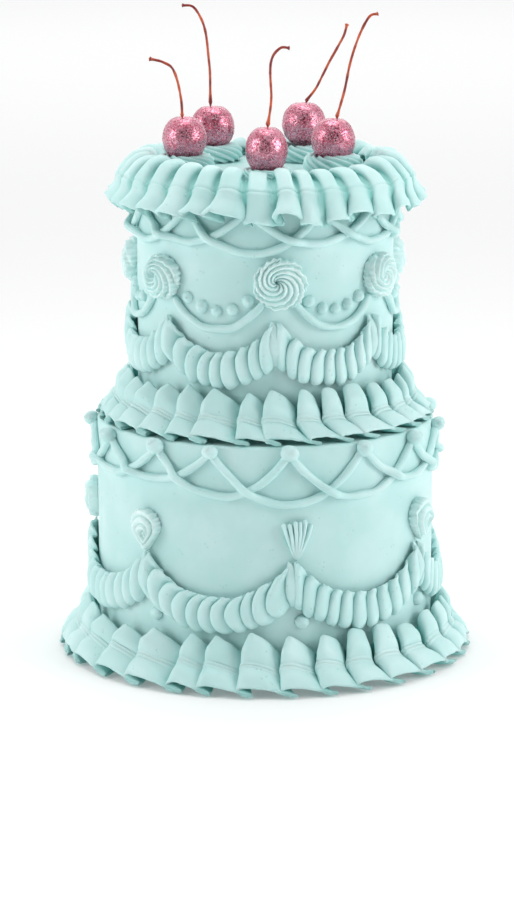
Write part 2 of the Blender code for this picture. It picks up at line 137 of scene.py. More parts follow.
def spread_round(front: Row | Array, count: int, jitter: float = 0.0, seed: int = 1) -> Array:
    """Azimuths round the whole cake: the front ones as given, the others evenly behind.

    Args:
        front: the azimuths seen from the front, growing.
        count: how many there are in all.
        jitter: how far one may stray, as a share of the even step.
        seed: which straying.

    Returns:
        The azimuths, growing over one whole turn.
    """
    draw = np.random.default_rng(seed)
    missing = count - len(front)
    step = (360.0 - (front[-1] - front[0])) / (missing + 1)
    behind = front[-1] + step * (np.arange(missing) + 1.0 + draw.uniform(-jitter, jitter, missing))
    return np.concatenate([np.asarray(front, float), behind])


def following(azimuths: Array, place: int) -> float:
    """The azimuth after the one at that place, counted on past a whole turn if need be."""
    start = azimuths[place]
    return start + (azimuths[(place + 1) % len(azimuths)] - start) % 360.0


def sagging(start: float, end: float, attach: float, low: float, steps: int) -> tuple[Array, Array]:
    """Azimuths and heights of a hanging string, whose height follows a power of the way from its middle."""
    along = np.linspace(0.0, 1.0, steps)
    return start + along * (end - start), low + (attach - low) * np.abs(2.0 * along - 1.0) ** 2.2


def unit(vectors: Array) -> Array:
    """The vectors at length one."""
    return vectors / np.maximum(np.linalg.norm(vectors, axis=-1, keepdims=True), 1e-9)


def outward(points: Array) -> Array:
    """The level direction away from the axis at each place."""
    return unit(points * [1.0, 1.0, 0.0])


def normals_of(points: Array, ring: bool) -> Array:
    """The unit normals of a grid: the cross product of its central differences along both axes.

    Args:
        points: a grid of places, (first, second, 3).
        ring: whether the first axis closes on itself.

    Returns:
        One normal for each place.
    """
    if ring:
        first = np.roll(points, -1, axis=0) - np.roll(points, 1, axis=0)
    else:
        first = np.gradient(points, axis=0)
    return unit(np.cross(first, np.gradient(points, axis=1)))


def sheet_loops(middle: Array, thickness: float, ring: bool) -> Array:
    """A sheet's closed skin: its middle moved half the thickness both ways along its normals.

    The loop runs along the outer side, round the far rim, back along the inner side and round the
    near rim. Each rim is a half circle of three places beyond the edge.

    Args:
        middle: the sheet's middle, (a, b, 3).
        thickness: in millimetres.
        ring: whether the first axis closes on itself.

    Returns:
        A grid (a, loop, 3) whose second axis closes on itself.
    """
    normal = normals_of(middle, ring) * (0.5 * thickness)
    parts = []
    for side, edge, inner, way in ((middle + normal, -1, -2, 1.0), ((middle - normal)[:, ::-1], 0, 1, -1.0)):
        parts.append(side)
        beyond = unit(middle[:, edge] - middle[:, inner]) * (0.5 * thickness)
        for turn in np.radians((45.0, 90.0, 135.0)):
            across = normal[:, edge] * (way * math.cos(turn))
            parts.append((middle[:, edge] + across + beyond * math.sin(turn))[:, None])
    return np.concatenate(parts, axis=1)


def loop_values(values: Array) -> Array:
    """The sheet's values laid out as sheet_loops lays its points."""
    ends = [np.repeat(values[:, -1:], 3, axis=1), np.repeat(values[:, :1], 3, axis=1)]
    return np.concatenate([values, ends[0], values[:, ::-1], ends[1]], axis=1)


def tube(path: Array, radius: Array, sides: int, across: Array | None = None, squash: float = 1.0) -> Array:
    """Loops round a path: each point is the path's plus the radius times a turning spoke.

    Args:
        path: places, (n, 3).
        radius: one radius for each place.
        sides: points in a loop.
        across: a direction for each place that isn't along the path, else away from the axis.
        squash: the tube's size along that direction, against its size across it.

    Returns:
        A grid (n, sides, 3) whose second axis closes on itself.
    """
    along = unit(np.gradient(path, axis=0))
    side = unit(np.cross(along, outward(path) if across is None else across))
    out = np.cross(side, along)
    turn = TAU * np.arange(sides) / sides
    spokes = out[:, None] * (squash * np.cos(turn))[:, None] + side[:, None] * np.sin(turn)[:, None]
    return path[:, None] + spokes * np.asarray(radius)[:, None, None]


def rounded_ends(count: int, share: float) -> Array:
    """One along a row, falling to nearly nothing at both ends as a quarter circle does."""
    place = np.linspace(0.0, 1.0, count)
    near = np.clip(np.minimum(place, 1.0 - place) / share, 0.0, 1.0)
    return np.sqrt(np.maximum(1.0 - (1.0 - near) ** 2, 1e-4))


# Meshes

@dataclass
class Skin:
    """A growing mesh in millimetres, with how much painted shade each of its points gets, for the shade in
    folds and under overhangs.
    """

    points: list[Array] = field(default_factory=list)
    painted_shades: list[Array] = field(default_factory=list)
    faces: list[list[int]] = field(default_factory=list)
    total: int = 0

    def add_points(self, points: Array, deep: Array | float) -> int:
        """Adds points and returns the number of the first of them."""
        first = self.total
        self.points.append(points.reshape(-1, 3))
        self.painted_shades.append(np.broadcast_to(np.asarray(deep, float), points.shape[:-1]).reshape(-1))
        self.total += len(self.points[-1])
        return first

    def add_grid(self, points: Array, deep: Array | float = 0.0, ring_a: bool = False, cap: bool = False,
                 ring_b: bool = True) -> "Skin":
        """Adds a grid of quads: each face joins a place to its next ones along both axes.

        Args:
            points: places, (a, b, 3).
            deep: how much painted shade each place gets, from 0 to 1.
            ring_a: whether the first axis closes on itself.
            cap: whether the first and last rows are closed by one face each.
            ring_b: whether the second axis closes on itself.

        Returns:
            The mesh itself.
        """
        rows, columns = points.shape[:2]
        first = self.add_points(points, deep)
        a, b = np.meshgrid(np.arange(rows if ring_a else rows - 1),
                           np.arange(columns if ring_b else columns - 1), indexing="ij")
        after_a, after_b = (a + 1) % rows, (b + 1) % columns
        quads = np.stack([a * columns + b, a * columns + after_b,
                          after_a * columns + after_b, after_a * columns + b], axis=-1)
        self.faces.extend((quads.reshape(-1, 4) + first).tolist())
        if cap:
            for start in (first, first + (rows - 1) * columns):
                self.faces.append(list(range(start, start + columns)))
        return self

    def add_back(self, rim: Array) -> "Skin":
        """Closes a ring of places with faces to its middle, and returns the mesh."""
        return self.add_grid(np.stack([rim, np.broadcast_to(rim.mean(axis=0), rim.shape)]))

    def add_copies(self, shape: Array, faces: list[list[int]], places: Array, frames: Array,
                   sizes: Array) -> "Skin":
        """Adds one small shape many times: each copy's points are its place plus its frame times the shape.

        Args:
            shape: the small shape's points, (n, 3).
            faces: its faces.
            places: where the copies go, (m, 3).
            frames: the copies' three axes as rows, (m, 3, 3).
            sizes: the copies' sizes along those axes, (m, 3).

        Returns:
            The mesh itself.
        """
        points = places[:, None, :] + np.einsum("ni,mi,mij->mnj", shape, sizes, frames)
        shifts = self.add_points(points, 0.0) + np.arange(len(places)) * len(shape)
        for face in faces:
            self.faces.extend((shifts[:, None] + np.asarray(face)).tolist())
        return self

    def make(self, name: str) -> bpy.types.Object:
        """Makes the object: doubles merged, faces outwards and smooth, the painted shade kept as an
        attribute.
        """
        mesh = bpy.data.meshes.new(name)
        mesh.from_pydata((np.concatenate(self.points) * MM).tolist(), [], self.faces)
        # This attribute holds painted shade: how strongly the icing's colour is darkened at each point for
        # the shade in folds.
        deep = mesh.attributes.new("deep", "FLOAT", "POINT")
        deep.data.foreach_set("value", np.clip(np.concatenate(self.painted_shades), 0.0, 1.0).astype(np.float32))
        work = bmesh.new()
        work.from_mesh(mesh)
        bmesh.ops.remove_doubles(work, verts=work.verts, dist=0.002 * MM)
        bmesh.ops.recalc_face_normals(work, faces=work.faces)
        work.to_mesh(mesh)
        work.free()
        mesh.polygons.foreach_set("use_smooth", np.ones(len(mesh.polygons), bool))
        mesh.update()
        return add_object(name, mesh)


def add_object(name: str, data: bpy.types.ID) -> bpy.types.Object:
    """Puts an object into the scene."""
    made = bpy.data.objects.new(name, data)
    bpy.context.collection.objects.link(made)
    return made


# Finishes

def operator(operation: str, swapped: bool = False) -> Callable[["Value", "Value | float"], "Value"]:
    """A method that adds a Math node on a value and its argument, or on the two swapped."""
    def method(self: "Value", other: "Value | float") -> "Value":
        """Adds the node."""
        pair = (other, self) if swapped else (self, other)
        return self.graph.value("Math", {"operation": operation}, dict(enumerate(pair)))
    return method


@dataclass
class Value:
    """A shader value that adds Math nodes when it is used in an expression."""

    graph: "Graph"
    socket: Socket

    __add__ = __radd__ = operator("ADD")
    __mul__ = __rmul__ = operator("MULTIPLY")
    __sub__ = operator("SUBTRACT")
    __rsub__ = operator("SUBTRACT", swapped=True)
    above = operator("GREATER_THAN")


class Graph:
    """A material's or the world's node tree, with one method for every kind of node."""

    def __init__(self, holder: bpy.types.ID) -> None:
        """Keeps the holder and its nodes."""
        holder.use_nodes = True
        self.holder = holder
        self.tree = holder.node_tree

    @classmethod
    def named(cls, name: str) -> "Graph":
        """The nodes of a new material."""
        return cls(bpy.data.materials.new(name))

    def node(self, kind: str, settings: dict, inputs: dict) -> bpy.types.Node:
        """Adds a node.

        Args:
            kind: the node's type, without the word that all of them start with.
            settings: its own settings, or a ramp's stops under "stops".
            inputs: numbers, colours, sockets or values by the input's name or number.

        Returns:
            The node.
        """
        made = self.tree.nodes.new("ShaderNode" + kind)
        for key, value in settings.items():
            if key == "stops":
                while len(made.color_ramp.elements) < len(value):
                    made.color_ramp.elements.new(0.5)
                for element, (place, grey) in zip(made.color_ramp.elements, value):
                    element.position = place
                    element.color = (grey, grey, grey, 1.0)
            else:
                setattr(made, key, value)
        for key, value in inputs.items():
            self.feed(made.inputs[key], value)
        return made

    def feed(self, socket: Socket, value: object) -> None:
        """Links a value or a socket to an input, or sets the input to a constant."""
        if isinstance(value, Value):
            value = value.socket
        if isinstance(value, Socket):
            self.tree.links.new(value, socket)
        else:
            socket.default_value = value

    def value(self, kind: str, settings: dict, inputs: dict, output: str | int = 0) -> Value:
        """Adds a node and returns one of its outputs as a value."""
        return Value(self, self.node(kind, settings, inputs).outputs[output])

    def mix(self, factor: Value, first: object, second: object) -> Socket:
        """A mix of two colours."""
        return self.node("Mix", {"data_type": "RGBA"}, {0: factor, 6: first, 7: second}).outputs[2]

    def noise(self, scale: float, detail: float = 2.0, roughness: float = 0.5) -> Value:
        """Noise on the object's own coordinates."""
        return self.value("TexNoise", {}, {
            "Vector": self.place(), "Scale": scale, "Detail": detail, "Roughness": roughness})

    def cells(self, scale: float) -> bpy.types.Node:
        """A Voronoi pattern on the object's own coordinates."""
        return self.node("TexVoronoi", {"feature": "F1"}, {
            "Vector": self.place(), "Scale": scale, "Randomness": 1.0})

    def place(self, space: str = "Object") -> Socket:
        """The object's own coordinates, or another space's."""
        return self.node("TexCoord", {}, {}).outputs[space]

    def smooth(self, value: Value, low: float, high: float) -> Value:
        """A smooth step from nothing at low to one at high."""
        return self.value("MapRange", {"interpolation_type": "SMOOTHSTEP"}, {
            "Value": value, "From Min": low, "From Max": high})

    def bump(self, height: Value, strength: float, distance: float = 0.0002) -> Socket:
        """The normals of a relief."""
        inputs = {"Strength": strength, "Distance": distance, "Height": height}
        return self.node("Bump", {}, inputs).outputs[0]

    def dress(self, **inputs: object) -> Material:
        """Sets or links the shader's inputs, whose spaces are written as underscores."""
        for key, value in inputs.items():
            self.feed(self.tree.nodes["Principled BSDF"].inputs[key.replace("_", " ")], value)
        return self.holder


@dataclass(frozen=True)
class Icing:
    """Whipped buttercream: soft sheen, faint mottling, small air pits, and painted shade in its folds and
    pits.
    """

    name: str
    light: Colour = (0.60, 0.835, 0.825, 1.0)
    shade: Colour = (0.53, 0.79, 0.775, 1.0)
    # The colour of the painted shade in the folds and air pits.
    deep: Colour = (0.10, 0.46, 0.42, 1.0)
    pits: float = 0.5
    grain: float = 0.3

    def material(self) -> Material:
        """Makes the finish."""
        graph = Graph.named(self.name)
        mottle = graph.smooth(graph.noise(38.0, 3.0), 0.35, 0.68)
        tone = graph.mix(mottle, self.shade, self.light)
        # Painted shade: the attribute mixes a deep teal into the folds, gaps and recesses, where shade falls.
        fold_shade_mask = graph.value("Attribute", {"attribute_name": "deep"}, {}, "Fac")
        tone = graph.mix(fold_shade_mask * 0.85, tone, self.deep)
        bubbles = Value(graph, graph.cells(330.0).outputs["Distance"])
        sparse = graph.smooth(graph.noise(95.0, 1.0), 0.56, 0.66)
        pit = (1.0 - graph.smooth(bubbles, 0.10, 0.26)) * sparse
        # Painted shade inside the air pits; their dents in the relief below are real.
        tone = graph.mix(pit * 0.5 * self.pits, tone, self.deep)
        fine = graph.noise(1500.0, 2.0, 0.6)
        drag = graph.noise(210.0, 3.0, 0.55)
        relief = fine * (0.10 * self.grain) + drag * (0.9 * self.grain) - pit * (1.2 * self.pits)
        return graph.dress(
            Base_Color=tone, Roughness=drag * 0.2 + 0.36, Normal=graph.bump(relief, 0.6, 0.0004),
            Subsurface_Weight=0.18, Subsurface_Radius=(0.6, 1.0, 0.95), Subsurface_Scale=0.0022,
            Specular_IOR_Level=0.42)


@dataclass(frozen=True)
class CherrySkin:
    """A cherry under rose sugar glitter: each tiny cell has its own tone and gloss."""

    name: str = "glittered_cherry"
    rose: Colour = (0.62, 0.13, 0.21, 1.0)
    mauve: Colour = (0.76, 0.36, 0.46, 1.0)
    wine: Colour = (0.30, 0.015, 0.04, 1.0)

    def material(self) -> Material:
        """Makes the finish."""
        graph = Graph.named(self.name)
        split = graph.node("SeparateColor", {}, {0: graph.cells(1500.0).outputs["Color"]})
        first, second = (Value(graph, split.outputs[number]) for number in range(2))
        patch = graph.smooth(graph.noise(120.0, 2.0), 0.40, 0.66)
        tone = graph.mix(graph.smooth(first, 0.2, 0.8), self.rose, self.mauve)
        tone = graph.mix(second.above(0.80) * 0.7, tone, self.wine)
        tone = graph.mix(patch * 0.25, tone, self.mauve)
        relief = first * 0.6 + graph.noise(2600.0, 1.0) * 0.6
        return graph.dress(
            Base_Color=tone, Roughness=0.40 - second * 0.22, Metallic=first.above(0.2) * 0.9,
            Normal=graph.bump(relief, 0.42), Coat_Weight=0.3, Coat_Roughness=0.14)


@dataclass(frozen=True)
class Flake:
    """The bright flakes in the glitter."""

    name: str = "silver_rose_flakes"
    tint: Colour = (0.95, 0.68, 0.77, 1.0)
    roughness: float = 0.16

    def material(self) -> Material:
        """Makes the finish."""
        graph = Graph.named(self.name)
        worn = graph.noise(900.0, 1.0)
        tone = graph.mix(worn, self.tint, tuple(0.72 * part for part in self.tint[:3]) + (1.0,))
        return graph.dress(Base_Color=tone, Roughness=worn * 0.1 + self.roughness, Metallic=1.0)


@dataclass(frozen=True)
class Stalk:
    """A cherry stalk: dark red that warms towards orange in streaks, a little glossy."""

    name: str = "cherry_stalk"
    dark: Colour = (0.23, 0.012, 0.010, 1.0)
    warm: Colour = (0.62, 0.10, 0.025, 1.0)

    def material(self) -> Material:
        """Makes the finish."""
        graph = Graph.named(self.name)
        tone = graph.mix(graph.smooth(graph.noise(150.0, 3.0), 0.38, 0.66), self.dark, self.warm)
        grain = graph.noise(1800.0, 2.0)
        return graph.dress(Base_Color=tone, Roughness=grain * 0.2 + 0.3, Normal=graph.bump(grain, 0.5),
                           Coat_Weight=0.3, Coat_Roughness=0.25)


class Coat(Enum):
    """Which icing finish a piece gets. The swirled one is the same buttercream painted lighter, a painted
    light that offsets the shade between its ridges.
    """

    SMOOTH = Icing("smoothed_icing", pits=0.35, grain=0.16)
    PIPED = Icing("piped_icing")
    # Painted light: the piped icing's colours made lighter for the swirls, whose ridges shade each other.
    SWIRLED = Icing("swirled_icing_painted_lighter", light=(0.74, 0.915, 0.905, 1.0), shade=(0.64, 0.87, 0.855, 1.0))


class Pantry:
    """Every finish of the cake, made once."""

    def __init__(self) -> None:
        """Makes all the finishes."""
        self.icings = {coat: coat.value.material() for coat in Coat}
        self.piped = self.icings[Coat.PIPED]
        self.cherry = CherrySkin().material()
        self.silver = Flake().material()
        self.stalk = Stalk().material()


def place_piece(skin: Skin, name: str, material: Material, nodes: tuple[str, ...]) -> None:
    """Makes a piece of the skin, dresses it and sets it on the cake in place of its CAD nodes.

    Args:
        skin: the piece's surface.
        name: the piece's name.
        material: its finish.
        nodes: the CAD nodes that it stands for.
    """
    piece = skin.make(name)
    piece.data.materials.append(material)
    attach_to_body(piece, BODY)
    if nodes:
        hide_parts(*nodes)
    LOG.info("%s: %d faces", name, len(piece.data.polygons))


@dataclass
class Piece:
    """A piece of icing that stands for one CAD node."""

    coat: ClassVar[Coat] = Coat.PIPED
    name: str
    node: str

    def skin(self) -> Skin:
        """The piece's surface, which each kind of piece makes its own way."""
        raise NotImplementedError

    def build(self, pantry: Pantry) -> None:
        """Makes the piece and sets it on the cake."""
        place_piece(self.skin(), self.name, pantry.icings[self.coat], (self.node,))


# Tiers

@dataclass
class Tier(Piece):
    """A smoothed cylinder of icing with a rounded rim and faint marks of the scraper.

    The painted shade pairs say how much painted shade its colour gets at which heights: painted shade beside
    the frills and garlands, where they shade the wall.
    """

    coat: ClassVar[Coat] = Coat.SMOOTH
    radius: float
    bottom: float
    top: float
    seed: int
    painted_shade_by_height: tuple[Span, ...]
    rim: float = 1.8
    marks: float = 0.16

    def profile(self) -> Array:
        """Radius and height from the middle of the underside, up the wall and to the middle of the top."""
        inner, shoulder = self.radius - self.rim, self.top - self.rim
        turn = np.radians(np.linspace(0.0, 90.0, 7))[1:]
        return np.concatenate([
            np.linspace((0.0, self.bottom), (self.radius, self.bottom), 8),
            np.linspace((self.radius, self.bottom), (self.radius, shoulder), 41)[1:],
            np.stack([inner + self.rim * np.cos(turn), shoulder + self.rim * np.sin(turn)], axis=1),
            np.linspace((inner, self.top), (0.0, self.top), 14)[1:]])

    def skin(self) -> Skin:
        """Turns the profile round the axis and lets the wall stray by the marks."""
        radius, height = self.profile().T[:, None]
        points = on_wall(np.linspace(0.0, 360.0, 220, endpoint=False)[:, None], radius, height)
        stray = ripple(points, 46.0, self.seed) * 0.7
        stray = stray + ripple(points * [1.0, 1.0, 0.35], 13.0, self.seed + 1) * 0.3
        points[..., :2] *= 1.0 + (stray * self.marks * (radius / self.radius) / self.radius)[..., None]
        # Painted shade by height, from the pairs.
        deep = np.interp(points[..., 2], *np.array(self.painted_shade_by_height).T)
        return Skin().add_grid(points, deep, ring_a=True, ring_b=False)


# Sheets of icing

@dataclass
class Frill(Piece):
    """A ring of pleats piped with a petal tip: each pleat's crest leans over the one before it.

    Along a pleat, a place s from 0 to 1 stands at s minus the curl times the sine of s plus the lead,
    minus the pinch times the sine of twice s, all in whole turns. So the sheet folds back on itself
    under each crest, in a loop that is open at the outer edge. Its lift from the recess section to the
    crest section is the sine, plus the saw times the sine of twice s, plus 0.9 times the saw's square
    times the sine of three times s, brought between 0 and 1 and raised to a power. The power is nearly
    two at the rim, where a fold lies low, and a bulge takes it below one on the upper part of a tube.

    A row of pleats holds the azimuth where a pleat starts, its roll, roundness and size, how much
    higher its top edge and its hem are, and how far its skirt sweeps to the right. The unseen pairs
    are the limits of all but the azimuth for the pleats behind. A pleat of roundness 1 is an upright
    tube with a gap beside it, and one of roundness 0 a slanting sail. The curls, leads, pinches, saws,
    uprights, powers and bulges are those at the top edge, above the crease, at the crease, below it
    and at the rim.
    """

    pleats: tuple[Row, ...]
    count: int
    recess: tuple[Span, ...]
    crest: tuple[Span, ...]
    seed: int
    unseen: tuple[Span, ...] = ((0.8, 1.15), (0.2, 1.0), (0.90, 1.04), (-1.6, 1.4), (-0.6, 0.6), (0.0, 4.0))
    curls: Row = (0.10, 0.29, 0.33, 0.40, 0.44)
    leads: Row = (0.05, 0.10, 0.12, 0.13, 0.12)
    pinches: Row = (0.10, 0.12, 0.13, 0.14, 0.14)
    saws: Row = (0.36, 0.34, 0.24, 0.10, 0.0)
    uprights: Row = (0.5, 0.5, 0.5, 0.35, 0.25)
    powers: Row = (1.0, 1.0, 1.0, 1.4, 1.9)
    bulges: Row = (0.45, 0.40, 0.30, 0.10, 0.0)
    teeth: float = 0.35
    groove: float = 0.7
    crease: float = 0.5
    thickness: float = 1.8
    samples: int = 24
    wander: float = 0.45

    def along_sheet(self) -> Array:
        """Places from the inner edge at 0 to the outer edge at 1, closer together at the crease."""
        fine = self.crease + np.array([-0.07, -0.045, -0.03, -0.015, 0.0, 0.015, 0.03, 0.045, 0.07])
        coarse = np.linspace(0.0, 1.0, 18)
        return np.sort(np.concatenate([coarse[np.abs(coarse - self.crease) > 0.08], fine]))

    def sheet(self) -> tuple[Array, Array]:
        """The sheet's middle and the painted shade of each of its places.

        Returns:
            Points (pleats times samples, steps, 3) and painted shade amounts of the same two first sizes.
        """
        draw = np.random.default_rng(self.seed)
        given = np.array(self.pleats).T
        starts = spread_round(given[0], self.count, 0.12, self.seed)
        widths = np.diff(np.append(starts, starts[0] + 360.0))
        t = self.along_sheet()
        pleat = np.repeat(np.arange(self.count), self.samples)
        along = np.tile((np.arange(self.samples) + 0.5) / self.samples, self.count)
        marks = (0.0, 0.4 * self.crease, self.crease, 0.7 + 0.3 * self.crease, 1.0)

        def down(values: Row) -> Array:
            """The values at the marks, run on down the sheet."""
            return np.interp(t, marks, values)

        def across(values: Array) -> Array:
            """One value for each pleat, run smoothly from each pleat's crest to the next one's."""
            knots = np.arange(-1, self.count + 1) + 0.35
            return np.interp(pleat + along, knots, np.concatenate([values[-1:], values, values[:1]]))[:, None]

        def column(number: int) -> Array:
            """One column of the pleats after the azimuth, with random values behind."""
            behind = draw.uniform(*self.unseen[number], self.count - len(self.pleats))
            return across(np.append(given[number + 1], behind))

        roll, roundness, size, top = (column(number) for number in range(4))
        lean = across(draw.uniform(-1.4, 1.4, self.count)) * (0.5 - t)
        hem, sweep = column(4), column(5)
        grown = np.clip(2.0 * t, 0.0, 1.0)
        skirt = np.clip((t - self.crease) / (1.0 - self.crease), 0.0, 1.0)
        early = np.clip(1.0 - t / marks[1], 0.0, 1.0)
        curl = down(self.curls) * roll ** grown * (1.0 - down(self.uprights) * roundness)
        curl = curl + 0.09 * roundness * early
        saw = down(self.saws) * (1.0 - roundness)
        turn = TAU * along[:, None]
        u = along[:, None] - curl * np.sin(turn + TAU * down(self.leads))
        u = u - down(self.pinches) * roundness * np.sin(2.0 * turn)
        wave = np.sin(turn) + saw * np.sin(2.0 * turn) + 0.9 * saw ** 2 * np.sin(3.0 * turn)
        power = down(self.powers) - down(self.bulges) * roundness
        lift = ((wave - wave.min(axis=0)) / np.ptp(wave, axis=0)) ** power
        low, high = through(self.recess, t), through(self.crest, t)
        place = low + (lift * (1.0 + (size - 1.0) * grown))[..., None] * (high - low)
        rise = top * lift * np.clip(1.0 - t / self.crease, 0.0, 1.0)
        azimuth = starts[pleat][:, None] + u * widths[pleat][:, None] + (lean + sweep * skirt)
        points = on_wall(azimuth, place[..., 0], place[..., 1] + rise + hem * skirt)
        stray = ripple(points, 11.0, self.seed + 7) * self.wander
        points[..., 2] += stray * np.clip(1.2 - t, 0.0, 1.0) * 0.7
        torn = ripple(points * [1.0, 1.0, 0.3], 2.9, self.seed + 9) * np.clip(t - 0.86, 0.0, 0.14) / 0.14
        points[..., :2] *= (1.0 + torn * self.teeth * 0.008)[..., None]
        points[..., 2] += np.abs(torn) * self.teeth
        points[..., :2] *= (1.0 + stray * 0.003)[..., None]
        beside = np.abs(t - self.crease)
        seam = 1.1 * bell(beside - 0.034, 0.014) - bell(beside, 0.015)
        points -= normals_of(points, ring=True) * self.groove * seam[:, None]
        # Painted shade under the crests and in the recesses, a little less at the rim, and a painted dark
        # line along the crease groove.
        deep = self.painted_fold_shade(u + pleat[:, None], lift) * np.interp(t, (0.0, 0.8, 1.0), (1.0, 1.0, 0.6))
        return points, deep + 0.55 * self.groove * bell(beside, 0.012)

    def painted_fold_shade(self, u: Array, lift: Array) -> Array:
        """The painted shade of each place: more the further it lies under the sheet's upper outline, which is
        the most lift near its u, and the lower its lift.

        Args:
            u: where each place stands, in pleats from the first one's start.
            lift: its lift.

        Returns:
            No painted shade on the outline, growing to full painted shade in a fold.
        """
        bins = 16 * self.count
        columns = np.broadcast_to(np.arange(u.shape[1]), u.shape)
        place = np.floor(u * 16.0).astype(int) % bins
        outline = np.zeros((bins, u.shape[1]))
        np.maximum.at(outline, (place, columns), lift)
        for shift in (-1, 1):
            outline = np.maximum(outline, 0.93 * np.roll(outline, shift, axis=0))
        outline = (outline + np.roll(outline, 1, axis=0) + np.roll(outline, -1, axis=0)) / 3.0
        under = np.clip(outline[place, columns] - lift - 0.05, 0.0, 1.0)
        return np.clip(1.4 * under + 0.55 * (1.0 - lift) ** 1.6, 0.0, 1.0)

    def skin(self) -> Skin:
        """Gives the sheet its thickness."""
        middle, deep = self.sheet()
        return Skin().add_grid(sheet_loops(middle, self.thickness, ring=True), loop_values(deep), ring_a=True)


@dataclass
class Garland(Piece):
    """A swag of upright pleats on a wall, folded from one ribbon: soft fingers with a zigzag top edge.

    The top and bottom heights follow a power of the distance from the swag's middle. A finger stands
    off the wall by its lift times a bow across the ribbon's width, leans square to the swag's line and
    is narrower at its top. One pointed finger lies over the swag's end.
    """

    wall: float
    start: float
    end: float
    fingers: int
    peak: Span
    trough: Span
    bow: float
    curl: float
    seed: int
    depth: float = 5.4
    lean: float = 0.45
    last: float = 4.4
    thickness: float = 1.6
    samples: int = 20
    steps: int = 22
    sag: float = 2.3
    inset: float = 0.3

    def sheet(self) -> tuple[Array, Array]:
        """The ribbon's middle and the painted shade of each of its places, darkest in the gaps between the
        fingers.
        """
        draw = np.random.default_rng(self.seed)
        place = np.linspace(0.0, self.fingers, self.fingers * self.samples + 1)
        t = np.linspace(0.0, 1.0, self.steps)
        calm = np.clip(np.minimum(place, self.fingers - place) / 0.5, 0.0, 1.0)[:, None]

        def drawn(low: float, high: float) -> Array:
            """A random value at each finger's middle, run on between them."""
            middles = np.arange(self.fingers) + 0.5
            return np.interp(place, middles, draw.uniform(low, high, self.fingers))[:, None]

        uneven = drawn(0.78, 1.12)
        turn = TAU * (place - 0.06)[:, None]
        bend = (np.sin(math.pi * t) ** 0.8)
        wave = 0.5 + 0.5 * np.sin(turn)
        lift = wave ** np.interp(t, (0.0, 0.25, 0.6, 1.0), (1.5, 1.0, 0.6, 0.7))
        curl = self.curl * uneven * calm * np.sin(turn + 0.75)
        slope = np.sin(TAU * (place / self.fingers - 0.5))[:, None]
        u = place[:, None] - curl * (0.55 + 0.45 * bend)
        u = u + calm * self.bow * bend * uneven
        u = u + self.lean * slope * (t - 0.35)
        u = np.clip(u + calm * (bell(t, 0.10) * 0.16), 0.0, self.fingers)
        widths = np.cumsum(np.append(0.0, draw.uniform(0.8, 1.2, self.fingers)))
        share = np.interp(u, np.arange(self.fingers + 1), widths / widths[-1])
        rise = np.abs(2.0 * share - 1.0) ** self.sag
        top, bottom = (low + (high - low) * rise for high, low in zip(self.peak, self.trough))
        top = top + (2.1 * wave + drawn(-0.8, 0.8) * wave) - 0.8
        bottom = bottom + 3.6 * (1.0 - wave) ** 1.5 + drawn(-1.0, 1.0) * wave
        off = np.interp(t, (0.0, 0.08, 0.24, 0.5, 0.8, 0.93, 1.0), (0.62, 0.70, 0.92, 1.0, 0.93, 0.66, 0.26))
        stand = self.wall + WALL_GAP + 0.9 + self.depth * off * (0.06 + 0.94 * lift * uneven)
        azimuth = self.start + self.inset + share * (self.end - self.start - 2.0 * self.inset)
        points = on_wall(azimuth, stand, top + (bottom - top) * t)
        points[..., 2] += ripple(points, 9.0, self.seed + 3) * 0.25
        points[..., 2] += ripple(points, 2.6, self.seed + 4) * bell(t, 0.06) * 0.3
        # Painted shade in the gaps between the fingers, lighter along the top edge.
        return points, (1.0 - lift) ** 1.5 * np.interp(t, (0.0, 0.15, 1.0), (0.3, 1.0, 1.0))

    def last_finger(self) -> Array:
        """The pointed finger over the swag's end: a tube whose radius grows from its tip and rounds off."""
        v = np.linspace(0.0, 1.0, 26)
        top, bottom = self.peak[0] + 1.2, self.peak[1] - 0.8
        azimuth = self.end + np.degrees((-2.6 + 1.8 * v + 1.2 * np.sin(math.pi * v)) / self.wall)
        radius = self.last * np.sin(math.pi * v ** 1.25) ** 0.62 + 0.05
        path = on_wall(azimuth, self.wall + WALL_GAP + 1.0 + 0.62 * radius, top + (bottom - top) * v)
        loops = tube(path, radius, 22, squash=0.62)
        return loops + ripple(loops, 7.0, self.seed + 8)[..., None] * 0.12

    def skin(self) -> Skin:
        """Gives the ribbon its thickness and adds the last finger."""
        middle, deep = self.sheet()
        loops = sheet_loops(middle, self.thickness, ring=False)
        return Skin().add_grid(loops, loop_values(deep), cap=True).add_grid(self.last_finger(), cap=True)


# Strings, shells and swirls

